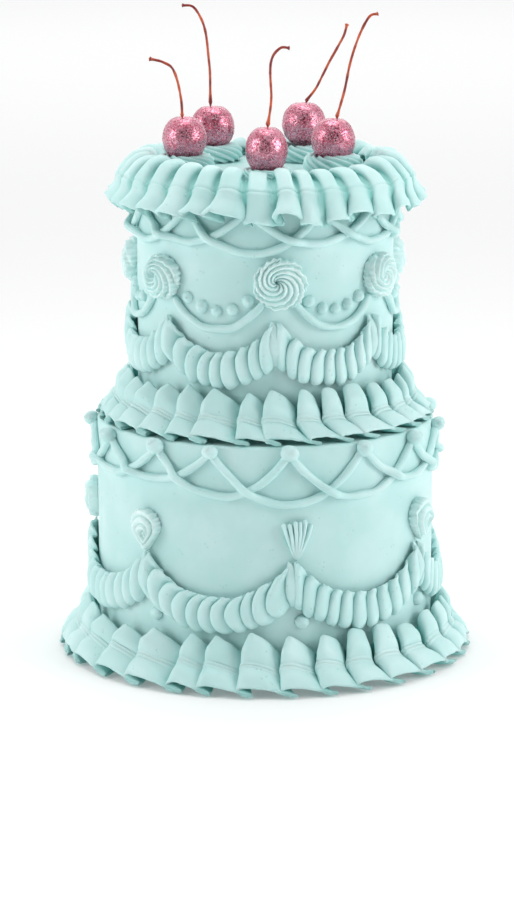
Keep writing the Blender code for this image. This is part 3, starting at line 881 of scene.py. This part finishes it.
@dataclass
class DropStrings(Piece):
    """Overlapping hanging strings: each spans two places and lies over the one before it where they cross."""

    wall: float
    front: Row
    count: int
    attach: float
    lows_front: Row
    low: float
    seed: int
    radius: float = 2.15
    knot: float = 0.0
    steps: int = 64

    def skin(self) -> Skin:
        """Makes the strings and their knots."""
        draw = np.random.default_rng(self.seed)
        attaches = spread_round(self.front, self.count)
        lows = np.full(self.count, self.low) + draw.uniform(-1.2, 1.2, self.count)
        lows[:len(self.lows_front)] = self.lows_front
        attaches = np.concatenate([attaches, attaches[:2] + 360.0])
        skin = Skin()
        for place in range(self.count):
            before = (place - 1) % self.count
            start, end = attaches[place], attaches[place + 2]
            azimuth, height = sagging(start, end, self.attach, lows[place], self.steps)
            shift = 360.0 if before > place else 0.0
            left, right = attaches[before] - shift, attaches[before + 2] - shift
            other = sagging(left, right, self.attach, lows[before], 200)
            apart = height - np.interp(azimuth, *other, right=self.attach)
            early = azimuth < start + 0.48 * (end - start)
            cross = azimuth[np.argmin(np.where(early, np.abs(apart) + 9.0 * (azimuth < start + 2.0), 1e9))]
            over = bell((azimuth - cross) * math.radians(self.wall), 4.6) * (1.7 * self.radius)
            path = on_wall(azimuth, self.wall + 0.82 * self.radius + over, height)
            path += ripple(path, 21.0, self.seed + place)[:, None] * [0.18, 0.18, 0.3]
            thick = self.radius * (1.0 + 0.07 * ripple(path, 14.0, self.seed + 40 + place))
            skin.add_grid(tube(path, thick * rounded_ends(self.steps, 0.03), 14), cap=True)
        if self.knot:
            for place in range(self.count):
                self.add_knot(skin, attaches[place], self.seed + place, draw)
        return skin

    def add_knot(self, skin: Skin, azimuth: float, seed: int, draw: np.random.Generator) -> None:
        """Adds the knot of icing where strings meet: a ball with a small nub on it."""
        spot = on_wall(azimuth, self.wall + 0.78 * self.knot, self.attach + draw.uniform(-0.4, 1.0))
        size = self.knot * draw.uniform(0.92, 1.12)
        out = outward(spot)
        add_ball(skin, spot, out, (size, size * 1.05, size * 0.95), seed)
        side = np.cross(out, [0.0, 0.0, 1.0]) * draw.uniform(-2.2, 2.2)
        nub = spot + side + out * 1.2 + [0.0, 0.0, draw.uniform(0.4, 2.4)]
        add_ball(skin, nub, out, (size * 0.62, size * 0.6, size * 0.52), seed, peak=0.6)


def add_ball(skin: Skin, centre: Array, out: Array, sizes: Triple, seed: int, peak: float = 0.0) -> None:
    """Adds a soft blob: a sphere stretched on three axes, a little uneven, with a small peak outwards.

    Args:
        skin: what the blob is added to.
        centre: its centre.
        out: the direction of its pole.
        sizes: its half sizes along the pole, across it and up.
        seed: which unevenness.
        peak: how far the tip is drawn out, in millimetres.
    """
    side = unit(np.cross(out, [0.0, 0.0, 1.0]))
    up = np.cross(side, out)
    tilt = np.linspace(0.0, math.pi, 14)[:, None]
    turn = np.linspace(0.0, TAU, 20, endpoint=False)[None]
    a = np.cos(tilt) * sizes[0] + peak * bell(tilt, 0.28)
    b = np.sin(tilt) * np.cos(turn) * sizes[1]
    c = np.sin(tilt) * np.sin(turn) * sizes[2]
    points = a[..., None] * out + b[..., None] * side + c[..., None] * up
    skin.add_grid(points * (1.0 + 0.06 * ripple(points + centre, 9.0, seed))[..., None] + centre)


class Turn(Enum):
    """Which way a swirl was piped."""

    CLOCKWISE = -1
    ANTICLOCKWISE = 1


@dataclass
class Pressed(Piece):
    """A piece pressed on a wall at one place."""

    wall: float
    azimuth: float
    height: float

    def at(self, x: Array, y: Array, radius: Array) -> Array:
        """Places x to the right of the piece's own and y above it, at a distance from the axis."""
        return on_wall(self.azimuth + np.degrees(x / self.wall), radius, self.height + y)


@dataclass
class Swirl(Pressed):
    """A star-tip swirl: ridges that wind from its rim into a small hollow.

    Its outline is a rounded drop. A place q from 0 at the hollow to 1 at the outline stands off the
    wall by a dome of q, plus a ridge: a power of half of one less the cosine of arms times the angle
    and turns times q, so the ridges are round and the grooves between them narrow.
    """

    # Painted light: swirls take the lighter copy of the icing.
    coat: ClassVar[Coat] = Coat.SWIRLED
    width: float
    above: float
    below: float
    hollow: Span
    depth: float
    arms: float
    turns: float
    way: Turn
    seed: int
    taper: float = 0.0
    ridge: float = 1.9
    hole: float = 0.6
    rings: int = 64
    sides: int = 180

    def skin(self) -> Skin:
        """Makes the swirl's front, with painted shade in its grooves, and closes its back."""
        draw = np.random.default_rng(self.seed)
        angle = np.linspace(0.0, TAU, self.sides, endpoint=False)[None]
        v = np.linspace(0.0, 1.0, self.rings)[:, None]
        q = np.interp(v, (0.0, 0.12, 0.24, 1.0), (0.94, 1.0, 0.965, 0.0))
        off = np.interp(v, (0.0, 0.12, 0.24, 0.38, 0.60, 0.80, 0.92, 1.0),
                        (0.0, 0.30, 0.60, 0.82, 1.0, 0.96, 0.96 - 0.35 * self.hole, 0.96 - self.hole))
        down = np.clip(-np.sin(angle), 0.0, 1.0)
        across = np.cos(angle) * self.width * (1.0 - self.taper * down ** 1.4)
        upward = np.sin(angle) * np.where(np.sin(angle) > 0.0, self.above, self.below)
        phase = self.arms * angle + self.way.value * TAU * self.turns * q ** 0.85
        phase = phase + draw.uniform(0.0, 6.28) + 0.35 * np.sin(2.0 * angle + 1.0)
        crest = (0.5 - 0.5 * np.cos(phase)) ** 0.7
        fade = np.interp(v, (0.0, 0.08, 0.3, 0.93, 1.0), (0.7, 1.1, 1.1, 0.9, 0.2))
        scallop = np.sin(21.0 * angle + 2.0 * np.sin(3.0 * angle + self.seed))
        swell = 1.0 + (0.05 * (crest - 0.4) + 0.03 * scallop) * np.interp(v, (0.0, 0.3, 0.6), (1.2, 0.9, 0.0))
        x, y = (middle + (edge - middle) * q * swell for middle, edge in zip(self.hollow, (across, upward)))
        stand = self.depth * off * (1.0 - 0.28 * self.taper * down) + self.ridge * (crest - 0.5) * fade
        stand = np.where(v == 0.0, 0.0, np.maximum(stand, 0.15))
        points = self.at(x, y, self.wall + 0.1 + stand)
        uneven = ripple(points, 8.0, self.seed + 5) * 0.28
        points[..., :2] *= (1.0 + uneven * np.clip(stand, 0.0, 1.0) / self.wall)[..., None]
        # Painted shade in the grooves between the ridges.
        return Skin().add_grid(points, 0.35 * (1.0 - crest) ** 3.0 * fade).add_back(points[0])


@dataclass
class FanShell(Pressed):
    """A shell of star-tip icing whose ribs fan out from its tail.

    Each rib is a tube whose radius grows from the tail to its free tip. Its path leaves the tail
    straight up and spreads with the square root of its length. The ribs lie on a low cushion.
    """

    seed: int
    ribs: int = 6
    spread: float = 7.6
    above: float = 9.6
    below: float = 13.0
    depth: float = 6.2

    def skin(self) -> Skin:
        """Makes the ribs and the cushion, which is painted in shade."""
        draw = np.random.default_rng(self.seed)
        skin = Skin()
        v = np.linspace(0.0, 1.0, 30)
        stand = np.interp(v, (0.0, 0.25, 0.7, 1.0), (1.0, 2.6, self.depth - 1.2, self.depth - 2.6))
        for fan in np.linspace(-1.0, 1.0, self.ribs):
            tip = self.above - 2.6 * fan ** 2 + draw.uniform(-1.5, 0.8)
            x = self.spread * (fan + draw.uniform(-0.05, 0.05)) * v ** 0.8
            rib = stand * (1.0 - 0.35 * fan ** 2) + 0.4 * np.sin(3.0 * v + fan)
            path = self.at(x, -self.below + (tip + self.below) * v, self.wall + rib)
            skin.add_grid(tube(path, (0.7 + 0.6 * v) * rounded_ends(30, 0.07), 12, squash=1.5), cap=True)
        turn = np.linspace(0.0, TAU, 72, endpoint=False)[None]
        down = np.clip(-np.sin(turn), 0.0, 1.0)
        q = np.interp(v, (0.0, 0.2, 1.0), (0.97, 1.0, 0.0))[:, None]
        up = np.where(np.sin(turn) > 0.0, self.above - 3.4, self.below + 0.8) * np.sin(turn)
        wide = (self.spread - 0.9) * np.cos(turn) * (1.0 - 0.78 * down ** 1.3)
        dome = (self.depth - 3.2) * np.interp(v, (0.0, 0.2, 0.6, 1.0), (0.0, 0.55, 1.0, 1.0))[:, None]
        points = self.at(wide * q, up * q, self.wall + 0.1 + dome * (1.0 - 0.72 * down * q))
        # Painted shade over the whole cushion under and between the ribs.
        return skin.add_grid(points, 0.75).add_back(points[0])


# Cherries

@dataclass
class Cherry:
    """A glittered cherry on its ring of piped rope, with its stalk."""

    name: str
    x: float
    y: float
    height: float
    stem: tuple[Span, ...]
    lean: float
    seed: int
    half_width: float = 11.9
    half_height: float = 12.2
    flakes: int = 1100
    rope: float = 5.0
    rope_reach: float = 10.9

    def surface(self, step: Array, turn: Array) -> Array:
        """Points of the skin: a full sine and a cosine turned about the stalk, dipped at it, with a crease.

        Args:
            step: from the foot at 0 to the dimple at 1.
            turn: the angle about the stalk.

        Returns:
            Points of the two arguments' common shape.
        """
        radius = self.half_width * np.maximum(np.sin(math.pi * step), 0.0) ** 0.84
        dip = 2.4 * np.clip(1.0 - radius / (0.5 * self.half_width), 0.0, 1.0) ** 1.5
        height = -self.half_height * np.cos(math.pi * step) - np.where(step > 0.5, dip, 0.25 * dip)
        crease = 1.0 - 0.05 * bell(np.mod(turn - self.seed, TAU) - math.pi, 0.35)
        radius = radius * crease * (1.0 + 0.018 * np.sin(2.0 * turn + self.seed))
        return stacked(radius * np.cos(turn), radius * np.sin(turn), height) + self.centre()

    def centre(self) -> Array:
        """The fruit's middle."""
        return np.array([self.x, self.y, self.height])

    def build(self, pantry: Pantry) -> None:
        """Makes the fruit, its flakes, its rope and its stalk."""
        for skin, kind, material, slot, node in (
                (self.fruit(), "glittered_", pantry.cherry, "cherry", "cherry_"),
                (self.glitter(), "flakes_", pantry.silver, "cherry", ""),
                (self.ring(), "rope_", pantry.piped, "icing", "top_rosette_"),
                (self.stalk(), "stalk_", pantry.stalk, "stem", "stem_")):
            place_piece(skin, kind + self.name, material, (node + self.name,) if node else ())

    def fruit(self) -> Skin:
        """The skin, roughened by a tenth of a millimetre."""
        step = np.linspace(0.0, 1.0, 84)[:, None]
        points = self.surface(step, np.linspace(0.0, TAU, 132, endpoint=False)[None])
        grains = ripple(points, 1.1, self.seed) * 0.09 + ripple(points, 6.0, self.seed + 1) * 0.10
        swell = (1.0 + grains / self.half_width * np.sin(math.pi * step))[..., None]
        return Skin().add_grid(self.centre() + (points - self.centre()) * swell)

    def glitter(self) -> Skin:
        """Flat flakes scattered over the skin, each tilted its own way."""
        draw = np.random.default_rng(self.seed)
        step = np.arccos(1.0 - 2.0 * draw.uniform(0.02, 0.98, self.flakes)) / math.pi
        places = self.surface(step, draw.uniform(0.0, TAU, self.flakes))
        out = unit(unit(places - self.centre()) + 0.42 * draw.normal(size=(self.flakes, 3)))
        side = unit(np.cross(out, draw.normal(size=(self.flakes, 3))))
        frames = np.stack([out, side, np.cross(out, side)], axis=1)
        wide = draw.uniform(0.20, 0.42, self.flakes)
        sizes = stacked(0.07, wide, wide * draw.uniform(0.6, 1.0, self.flakes))
        shape = np.array([[1, 0, 0], [-1, 0, 0], [0, 1, 0], [0, 0, 1], [0, -1, 0], [0, 0, -1]], float)
        faces = [[0, 2, 3], [0, 3, 4], [0, 4, 5], [0, 5, 2], [1, 3, 2], [1, 4, 3], [1, 5, 4], [1, 2, 5]]
        return Skin().add_copies(shape, faces, places + out * 0.06, frames, sizes)

    def ring(self) -> Skin:
        """The ring under the fruit: a rope whose ridges wind once round it as it closes, and its floor; both
        carry painted shade.
        """
        turn = np.linspace(0.0, TAU, 150, endpoint=False)[:, None]
        round_it = np.linspace(0.0, TAU, 48, endpoint=False)[None]
        crest = 1.0 - np.sqrt(np.sin(0.5 * (8.0 * round_it + 12.0 * turn + self.seed)) ** 2 + 0.012)
        thick = self.rope * (0.84 + 0.34 * crest + 0.06 * np.sin(2.0 * turn + self.seed))
        reach = self.rope_reach + thick * np.cos(round_it) + 0.5 * np.sin(3.0 * turn)
        height = np.maximum(UPPER_TOP + 0.86 * self.rope + thick * np.sin(round_it), UPPER_TOP + 0.1)
        rope = stacked(self.x + reach * np.cos(turn), self.y + reach * np.sin(turn), height)
        cup = self.rope_reach * np.linspace(0.0, 1.0, 8)[:, None]
        level = max(min(self.height - self.half_height - 0.3, UPPER_TOP + 5.0), UPPER_TOP + 0.2)
        points = stacked(self.x + cup * np.cos(turn.T), self.y + cup * np.sin(turn.T), level)
        lower = points * [1.0, 1.0, 0.0] + [0.0, 0.0, UPPER_TOP + 0.1]
        # Painted shade in the rope's grooves, and on the floor under the fruit.
        skin = Skin().add_grid(rope, 0.8 * (1.0 - crest) ** 3.0, ring_a=True)
        return skin.add_grid(np.concatenate([lower, points[::-1]]), 0.4)

    def stalk(self) -> Skin:
        """The stalk along its curve, thicker at the fruit and at the knobbly tip."""
        at = np.linspace(0.0, 1.0, 60)
        flat = through(self.stem, at)
        flat[0, 1] -= 1.5
        x, height = flat.T
        path = stacked(x, self.y + self.lean * (height - height[0]) / (height[-1] - height[0]), height)
        path += ripple(path, 16.0, self.seed)[:, None] * [0.12, 0.25, 0.0]
        thick = 0.72 + 0.5 * bell(at, 0.05) + 0.75 * bell(1.0 - at, 0.035)
        thick = thick * (1.0 + 0.08 * ripple(path, 5.0, self.seed + 2)) * rounded_ends(60, 0.02)
        return Skin().add_grid(tube(path, thick, 12, np.broadcast_to([0.0, 1.0, 0.0], path.shape)), cap=True)


# The cake

@dataclass
class LowerTier:
    """The lower tier with its frill, strings, shells, garlands and dots."""

    peaks: Row = (-93.0, -41.5, 9.0, 59.5)
    shells: Row = (-93.5, -42.0, 10.0, 61.5)
    fans: tuple[int, ...] = (2, 5)
    swags: int = 7
    shell_height: float = 83.0
    dot_height: float = 35.6
    dot_shift: float = 3.0

    def build(self, pantry: Pantry) -> None:
        """Builds every piece of the tier."""
        Tier(
            "smooth_lower_tier", "lower_tier", LOWER_WALL, 0.0, LOWER_TOP, 11,
            # Painted shade by height: under the base frill and the garlands and at the top edge, and a little
            # darker over the whole wall.
            ((0.0, 0.12), (26.0, 0.12), (38.0, 0.09), (58.0, 0.07), (122.0, 0.05), (131.0, 0.08)),
        ).build(pantry)
        Frill(
            "icing_base_frill", "base_frill", (
                (-63.5, 1.0, 0.2, 0.96, -3.6, 0.0, 0.0),
                (-50.0, 1.1, 0.2, 1.02, -3.4, 0.4, 0.0),
                (-37.5, 1.0, 0.1, 0.98, -0.8, 0.0, 0.0),
                (-24.0, 1.1, 0.2, 1.04, -0.6, 0.1, 0.0),
                (-15.5, 0.9, 0.1, 0.94, -0.4, 0.5, 0.0),
                (-4.5, 1.0, 0.3, 1.04, 2.0, 0.0, 0.4),
                (7.0, 1.0, 0.3, 0.96, -0.8, 0.2, 1.0),
                (17.5, 1.1, 0.4, 1.0, -0.4, 0.0, 1.8),
                (27.0, 1.0, 0.7, 1.0, 2.0, 0.3, 3.0),
                (37.0, 1.1, 0.9, 1.04, 0.8, 0.0, 3.8),
                (48.0, 1.1, 1.0, 0.98, -3.0, 0.4, 4.0),
                (60.0, 1.1, 1.0, 1.04, 0.4, 0.0, 3.6),
                (71.0, 1.0, 1.0, 1.0, 0.2, 0.0, 3.0)), 32,
            recess=((94.8, 16.0), (96.6, 9.0), (101.6, 4.0), (108.6, 1.4), (114.9, 1.3)),
            crest=((99.0, 29.2), (103.8, 22.6), (104.8, 15.4), (110.0, 11.2), (112.8, 5.6)), seed=3,
            unseen=((0.8, 1.15), (0.2, 1.0), (0.90, 1.04), (-1.6, 1.4), (0.0, 0.6), (0.0, 4.0))).build(pantry)
        DropStrings(
            "icing_lower_strings", "lower_drop_strings", LOWER_WALL,
            (-88.0, -62.0, -37.5, -17.8, 7.6, 33.0, 56.5, 80.0), 14, 127.6,
            (108.2, 110.3, 104.4, 100.6, 102.3, 107.0), 105.0, seed=31, knot=4.3).build(pantry)
        peaks = spread_round(self.peaks, self.swags)
        self.build_dots(pantry, peaks)
        for place, start in enumerate(peaks):
            Garland(
                f"icing_lower_garland_{place + 1}", f"lower_garland_{place + 1}", LOWER_WALL, start,
                following(peaks, place), 11, (68.4, 45.4), (48.4, 30.0), bow=-0.46 if place % 2 else -0.1,
                curl=0.24, seed=60 + place).build(pantry)
        for place, azimuth in enumerate(spread_round(self.shells, self.swags)):
            spot = (f"icing_shell_{place + 1}", f"shell_{place + 1}", LOWER_WALL, azimuth, self.shell_height)
            if place in self.fans:
                FanShell(*spot, seed=80 + place).build(pantry)
            else:
                Swirl(
                    *spot, 8.8, 9.8, 13.4, hollow=(2.4, -3.5), depth=7.4, arms=1.0, turns=3.4,
                    way=Turn.CLOCKWISE, seed=80 + place, taper=0.72, hole=0.75).build(pantry)

    def build_dots(self, pantry: Pantry, peaks: Array) -> None:
        """Builds the dots under the garlands' peaks."""
        dots = Skin()
        for place, azimuth in enumerate(peaks):
            spot = on_wall(azimuth + self.dot_shift, LOWER_WALL + 0.6, self.dot_height)
            add_ball(dots, spot, outward(spot), (3.3, 3.9, 3.9), 50 + place, peak=0.5)
        place_piece(dots, "icing_dots", pantry.piped, ())


@dataclass
class UpperTier:
    """The upper tier with its two frills, strings, rosettes, bead strings and garlands."""

    peaks: Row = (-95.0, -44.5, 4.5, 51.5)
    rosettes: Row = (-100.0, -49.0, 6.0, 57.0)
    radii: Row = (12.0, 12.0, 13.6, 12.0, 12.2, 12.2, 12.2)
    front_rosette: int = 2
    swags: int = 7
    rosette_height: float = 214.2
    string_margin: float = 6.3
    string_attach: float = 205.0
    string_low: float = 189.5
    string_radius: float = 2.1
    bead_low: float = 199.1
    bead_rise: float = 14.0
    beads: int = 5

    def build(self, pantry: Pantry) -> None:
        """Builds every piece of the tier."""
        Tier(
            "smooth_upper_tier", "upper_tier", UPPER_WALL, UPPER_FOOT, UPPER_TOP, 17,
            # Painted shade by height: under the middle frill and the garlands, and under the top frill's hem.
            ((131.0, 0.16), (152.0, 0.16), (170.0, 0.05), (184.0, 0.0), (232.0, 0.0), (248.0, 0.14)),
        ).build(pantry)
        self.build_frills(pantry)
        DropStrings(
            "icing_upper_strings", "upper_drop_strings", UPPER_WALL,
            (-96.0, -66.0, -36.0, -8.0, 24.0, 52.0, 84.0), 12, 253.0,
            (232.4, 234.9, 229.9, 235.2, 233.5), 232.5, seed=37).build(pantry)
        centres = spread_round(self.rosettes, self.swags)
        beads = Skin()
        for place, (azimuth, size) in enumerate(zip(centres, self.radii)):
            Swirl(
                f"icing_rosette_{place + 1}", f"rosette_{place + 1}", UPPER_WALL, azimuth,
                self.rosette_height, size, size, size, hollow=(-0.15 * size, 0.1 * size), depth=8.6,
                arms=7.0 if place == self.front_rosette else 5.0, turns=5.4, way=Turn.ANTICLOCKWISE,
                seed=100 + place).build(pantry)
            start, end = azimuth + self.string_margin, following(centres, place) - self.string_margin
            self.build_bead_string(pantry, place, start, end)
            self.add_beads(beads, place, start, end)
        place_piece(beads, "icing_beads", pantry.piped, ())
        peaks = spread_round(self.peaks, self.swags)
        for place, start in enumerate(peaks):
            Garland(
                f"icing_upper_garland_{place + 1}", f"upper_garland_{place + 1}", UPPER_WALL, start,
                following(peaks, place), 9, (193.2, 170.6), (176.2, 158.6), bow=-0.2, curl=0.22,
                seed=200 + place).build(pantry)

    def build_frills(self, pantry: Pantry) -> None:
        """Builds the frill on the ledge and the one over the rim."""
        Frill(
            "icing_middle_frill", "middle_frill", (
                (-67.0, 1.0, 0.3, 0.96, -1.6, 0.0, 0.0),
                (-56.5, 1.1, 0.2, 1.0, -1.2, 0.2, 0.0),
                (-44.0, 1.0, 0.1, 1.0, 0.6, 0.0, 0.0),
                (-32.5, 1.0, 0.1, 1.02, 1.2, 0.0, 0.4),
                (-21.5, 1.1, 0.2, 1.04, 0.2, 0.2, 0.6),
                (-7.5, 1.1, 0.3, 0.96, -1.6, 0.5, 2.2),
                (2.0, 1.0, 0.3, 1.04, 1.0, 0.0, 2.4),
                (14.5, 1.0, 0.5, 1.0, 0.2, 0.2, 4.4),
                (24.5, 1.1, 0.8, 1.0, 0.6, 0.0, 5.6),
                (34.5, 1.1, 1.0, 1.02, 1.4, 0.2, 6.2),
                (47.5, 1.1, 1.0, 1.0, -0.6, 0.0, 5.6),
                (59.0, 1.0, 1.0, 0.98, -1.0, 0.0, 4.6)), 31,
            recess=((72.3, 145.0), (73.8, 139.0), (78.6, 134.2), (85.6, 132.5), (92.8, 132.2)),
            crest=((76.2, 157.2), (81.4, 151.2), (82.6, 144.0), (87.0, 139.8), (90.0, 135.2)),
            seed=5).build(pantry)
        Frill(
            "icing_top_frill", "top_frill", (
                (-60.0, 0.8, 0.9, 1.0, 4.6, 0.0, 0.0),
                (-49.0, 0.9, 0.9, 0.9, 3.6, 0.5, 0.0),
                (-38.0, 0.9, 0.9, 0.95, 1.2, -0.5, 0.0),
                (-27.0, 1.15, 0.9, 1.0, 0.0, 0.5, 0.0),
                (-17.0, 1.3, 1.0, 1.1, -1.6, 0.5, 0.0),
                (-6.0, 0.3, 1.0, 0.35, -1.0, -1.8, 1.0),
                (5.5, 1.3, 1.0, 1.0, -0.8, 1.5, 0.0),
                (14.0, 0.25, 1.0, 0.4, 0.0, -2.6, 1.5),
                (23.0, 0.5, 1.0, 0.6, -1.2, -0.8, 2.0),
                (33.5, 0.8, 0.9, 0.8, -1.6, 1.5, 1.0),
                (45.5, 0.6, 0.9, 0.7, -0.6, -1.6, 0.5),
                (59.0, 0.8, 0.9, 0.9, 2.4, 0.5, 0.0)), 33,
            recess=((61.0, 267.2), (66.0, 267.2), (72.6, 266.4), (79.0, 262.6), (79.6, 255.6), (81.4, 247.4)),
            crest=((60.6, 269.0), (64.2, 274.0), (73.0, 273.2), (80.0, 265.2), (82.2, 259.4), (87.4, 252.8)),
            seed=7, unseen=((0.3, 1.2), (0.2, 1.0), (0.5, 1.1), (1.5, 4.5), (-2.0, 1.5), (0.0, 4.0)),
            curls=(0.03, 0.12, 0.08, 0.42, 0.58), leads=(0.14, 0.14, 0.14, 0.13, 0.12),
            pinches=(0.125, 0.12, 0.02, 0.03, 0.08), saws=(0.0, 0.0, 0.0, 0.1, 0.1),
            crease=0.6, teeth=0.6, groove=0.3).build(pantry)

    def build_bead_string(self, pantry: Pantry, place: int, start: float, end: float) -> None:
        """Builds the string from one rosette to the next."""
        azimuth, height = sagging(start, end, self.string_attach, self.string_low, 56)
        path = on_wall(azimuth, UPPER_WALL + 1.8, height)
        path += ripple(path, 18.0, 140 + place)[:, None] * [0.15, 0.15, 0.35]
        thick = self.string_radius * (1.0 + 0.07 * ripple(path, 12.0, 150 + place)) * rounded_ends(56, 0.05)
        skin = Skin().add_grid(tube(path, thick, 14), cap=True)
        node = f"bead_string_{place + 1}"
        place_piece(skin, "icing_" + node, pantry.piped, (node,))

    def add_beads(self, skin: Skin, place: int, start: float, end: float) -> None:
        """Adds the beads above one string."""
        draw = np.random.default_rng(160 + place)
        along = (np.arange(self.beads) + 1.0) / (self.beads + 1.0)
        height = self.bead_low + self.bead_rise * np.abs(2.0 * along - 1.0) ** 2.2
        height = height + draw.uniform(-0.6, 0.6, self.beads)
        for number, spot in enumerate(on_wall(start + along * (end - start), UPPER_WALL + 0.5, height)):
            size = draw.uniform(2.9, 3.6)
            add_ball(skin, spot, outward(spot), (size * 0.9, size, size), 170 + number, peak=0.5)


@dataclass
class CherryTop:
    """The five cherries on the top of the cake."""

    fruits: tuple[Cherry, ...] = (
        Cherry("front", 0.5, -42.8, 281.2,
               ((1.0, 294.0), (2.9, 307.7), (2.6, 327.0), (7.6, 334.6), (12.8, 334.8)), 2.0, 301,
               half_width=11.3, half_height=12.7, rope=2.9),
        Cherry("left", -43.7, -13.3, 284.0,
               ((-44.7, 296.0), (-45.4, 305.7), (-49.0, 320.5), (-54.5, 325.0), (-62.4, 327.1)), -3.0, 302),
        Cherry("back_left", -29.2, 34.8, 284.7,
               ((-30.2, 297.0), (-30.8, 317.9), (-33.2, 337.6), (-39.0, 350.0), (-46.1, 351.6)), 3.0, 303),
        Cherry("back_right", 21.5, 34.8, 286.6,
               ((22.6, 299.0), (29.2, 308.0), (36.4, 322.5), (43.0, 334.0), (45.4, 341.5)), 4.0, 304),
        Cherry("right", 36.6, -13.3, 283.1,
               ((38.4, 295.4), (41.7, 306.8), (47.1, 330.8), (54.6, 348.2), (60.3, 351.0)), -2.0, 305),
    )

    def build(self, pantry: Pantry) -> None:
        """Builds the cherries in order."""
        for fruit in self.fruits:
            fruit.build(pantry)


# The studio

@dataclass
class Lamp:
    """A square light: its name, place, side in metres and power in watts, and the place that it faces."""

    name: str
    place: Triple
    size: float
    power: float
    target: Triple = (0.0, 0.0, 0.16)

    def hang(self) -> None:
        """Hangs the light."""
        light = bpy.data.lights.new(self.name, "AREA")
        light.shape = "SQUARE"
        light.size = self.size
        light.energy = self.power
        lamp = add_object(self.name, light)
        lamp.location = self.place
        aim = Vector(self.target) - Vector(self.place)
        lamp.rotation_euler = aim.to_track_quat("-Z", "Y").to_euler()


@dataclass
class Studio:
    """A pale floor, a soft white surround that is darker behind the camera, and large soft lights."""

    camera_place: Triple = (-0.00453, -1.6, 0.46845)
    tilt: float = 12.668
    lens: float = 117.864
    sensor: float = 36.0
    lamps: tuple[Lamp, ...] = (
        Lamp("left_light", (-1.3, -0.5, 0.66), 0.8, 7.5),
        Lamp("right_light", (1.3, -0.6, 0.70), 0.8, 9.6),
        Lamp("top_light", (0.0, 0.1, 1.5), 0.9, 6.5),
        Lamp("back_light", (0.0, 4.0, 2.6), 4.0, 44.0, (0.0, 4.4, 0.0)))
    floor_half: float = 9.0
    floor_height: float = -0.0005
    front: Triple = (0.0, -0.975, 0.222)
    glow: tuple[Span, ...] = ((0.0, 0.92), (0.35, 0.90), (0.75, 0.48), (0.92, 0.28), (0.97, 0.05))

    def build(self) -> None:
        """Sets the camera, the floor, the surround and the lights."""
        camera = bpy.data.cameras.new("camera")
        camera.lens = self.lens
        camera.sensor_width = self.sensor
        holder = add_object("camera", camera)
        holder.location = self.camera_place
        holder.rotation_euler = (math.radians(90.0 - self.tilt), 0.0, 0.0)
        bpy.context.scene.camera = holder
        bpy.context.scene.view_settings.view_transform = "Standard"
        self.build_floor()
        self.build_surround()
        for lamp in self.lamps:
            lamp.hang()

    def build_floor(self) -> None:
        """Lays the pale floor."""
        mesh = bpy.data.meshes.new("floor")
        corners = ((-1.0, -1.0), (1.0, -1.0), (1.0, 1.0), (-1.0, 1.0))
        mesh.from_pydata([(x * self.floor_half, y * self.floor_half, self.floor_height) for x, y in corners],
                         [], [(0, 1, 2, 3)])
        floor = add_object("floor", mesh)
        mesh.materials.append(Graph.named("pale_floor").dress(
            Base_Color=(0.82, 0.825, 0.825, 1.0), Roughness=0.8, Specular_IOR_Level=0.1,
            Emission_Color=(1.0, 1.0, 1.0, 1.0), Emission_Strength=0.16))

    def build_surround(self) -> None:
        """Lights the surround: white, and the dimmer the nearer it lies to the front."""
        world = bpy.data.worlds.new("surround")
        bpy.context.scene.world = world
        graph = Graph(world)
        facing = graph.value("VectorMath", {"operation": "DOT_PRODUCT"},
                             {0: graph.place("Generated"), 1: self.front}, "Value")
        half = graph.value("MapRange", {}, {"Value": facing, "From Min": -1.0}, "Result")
        glow = graph.value("ValToRGB", {"stops": self.glow}, {"Fac": half}, "Color")
        back = graph.tree.nodes["Background"]
        graph.feed(back.inputs["Strength"], glow)
        graph.feed(back.inputs["Color"], (1.0, 1.0, 1.0, 1.0))


def main() -> None:
    """Builds the studio and the cake, and logs each piece's face count as it is made."""
    logging.basicConfig(level=logging.INFO, format="%(name)s %(message)s")
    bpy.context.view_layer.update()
    Studio().build()
    pantry = Pantry()
    for part in (LowerTier(), UpperTier(), CherryTop()):
        part.build(pantry)
        LOG.info("%s done", type(part).__name__)


if __name__ == "__main__":
    main()
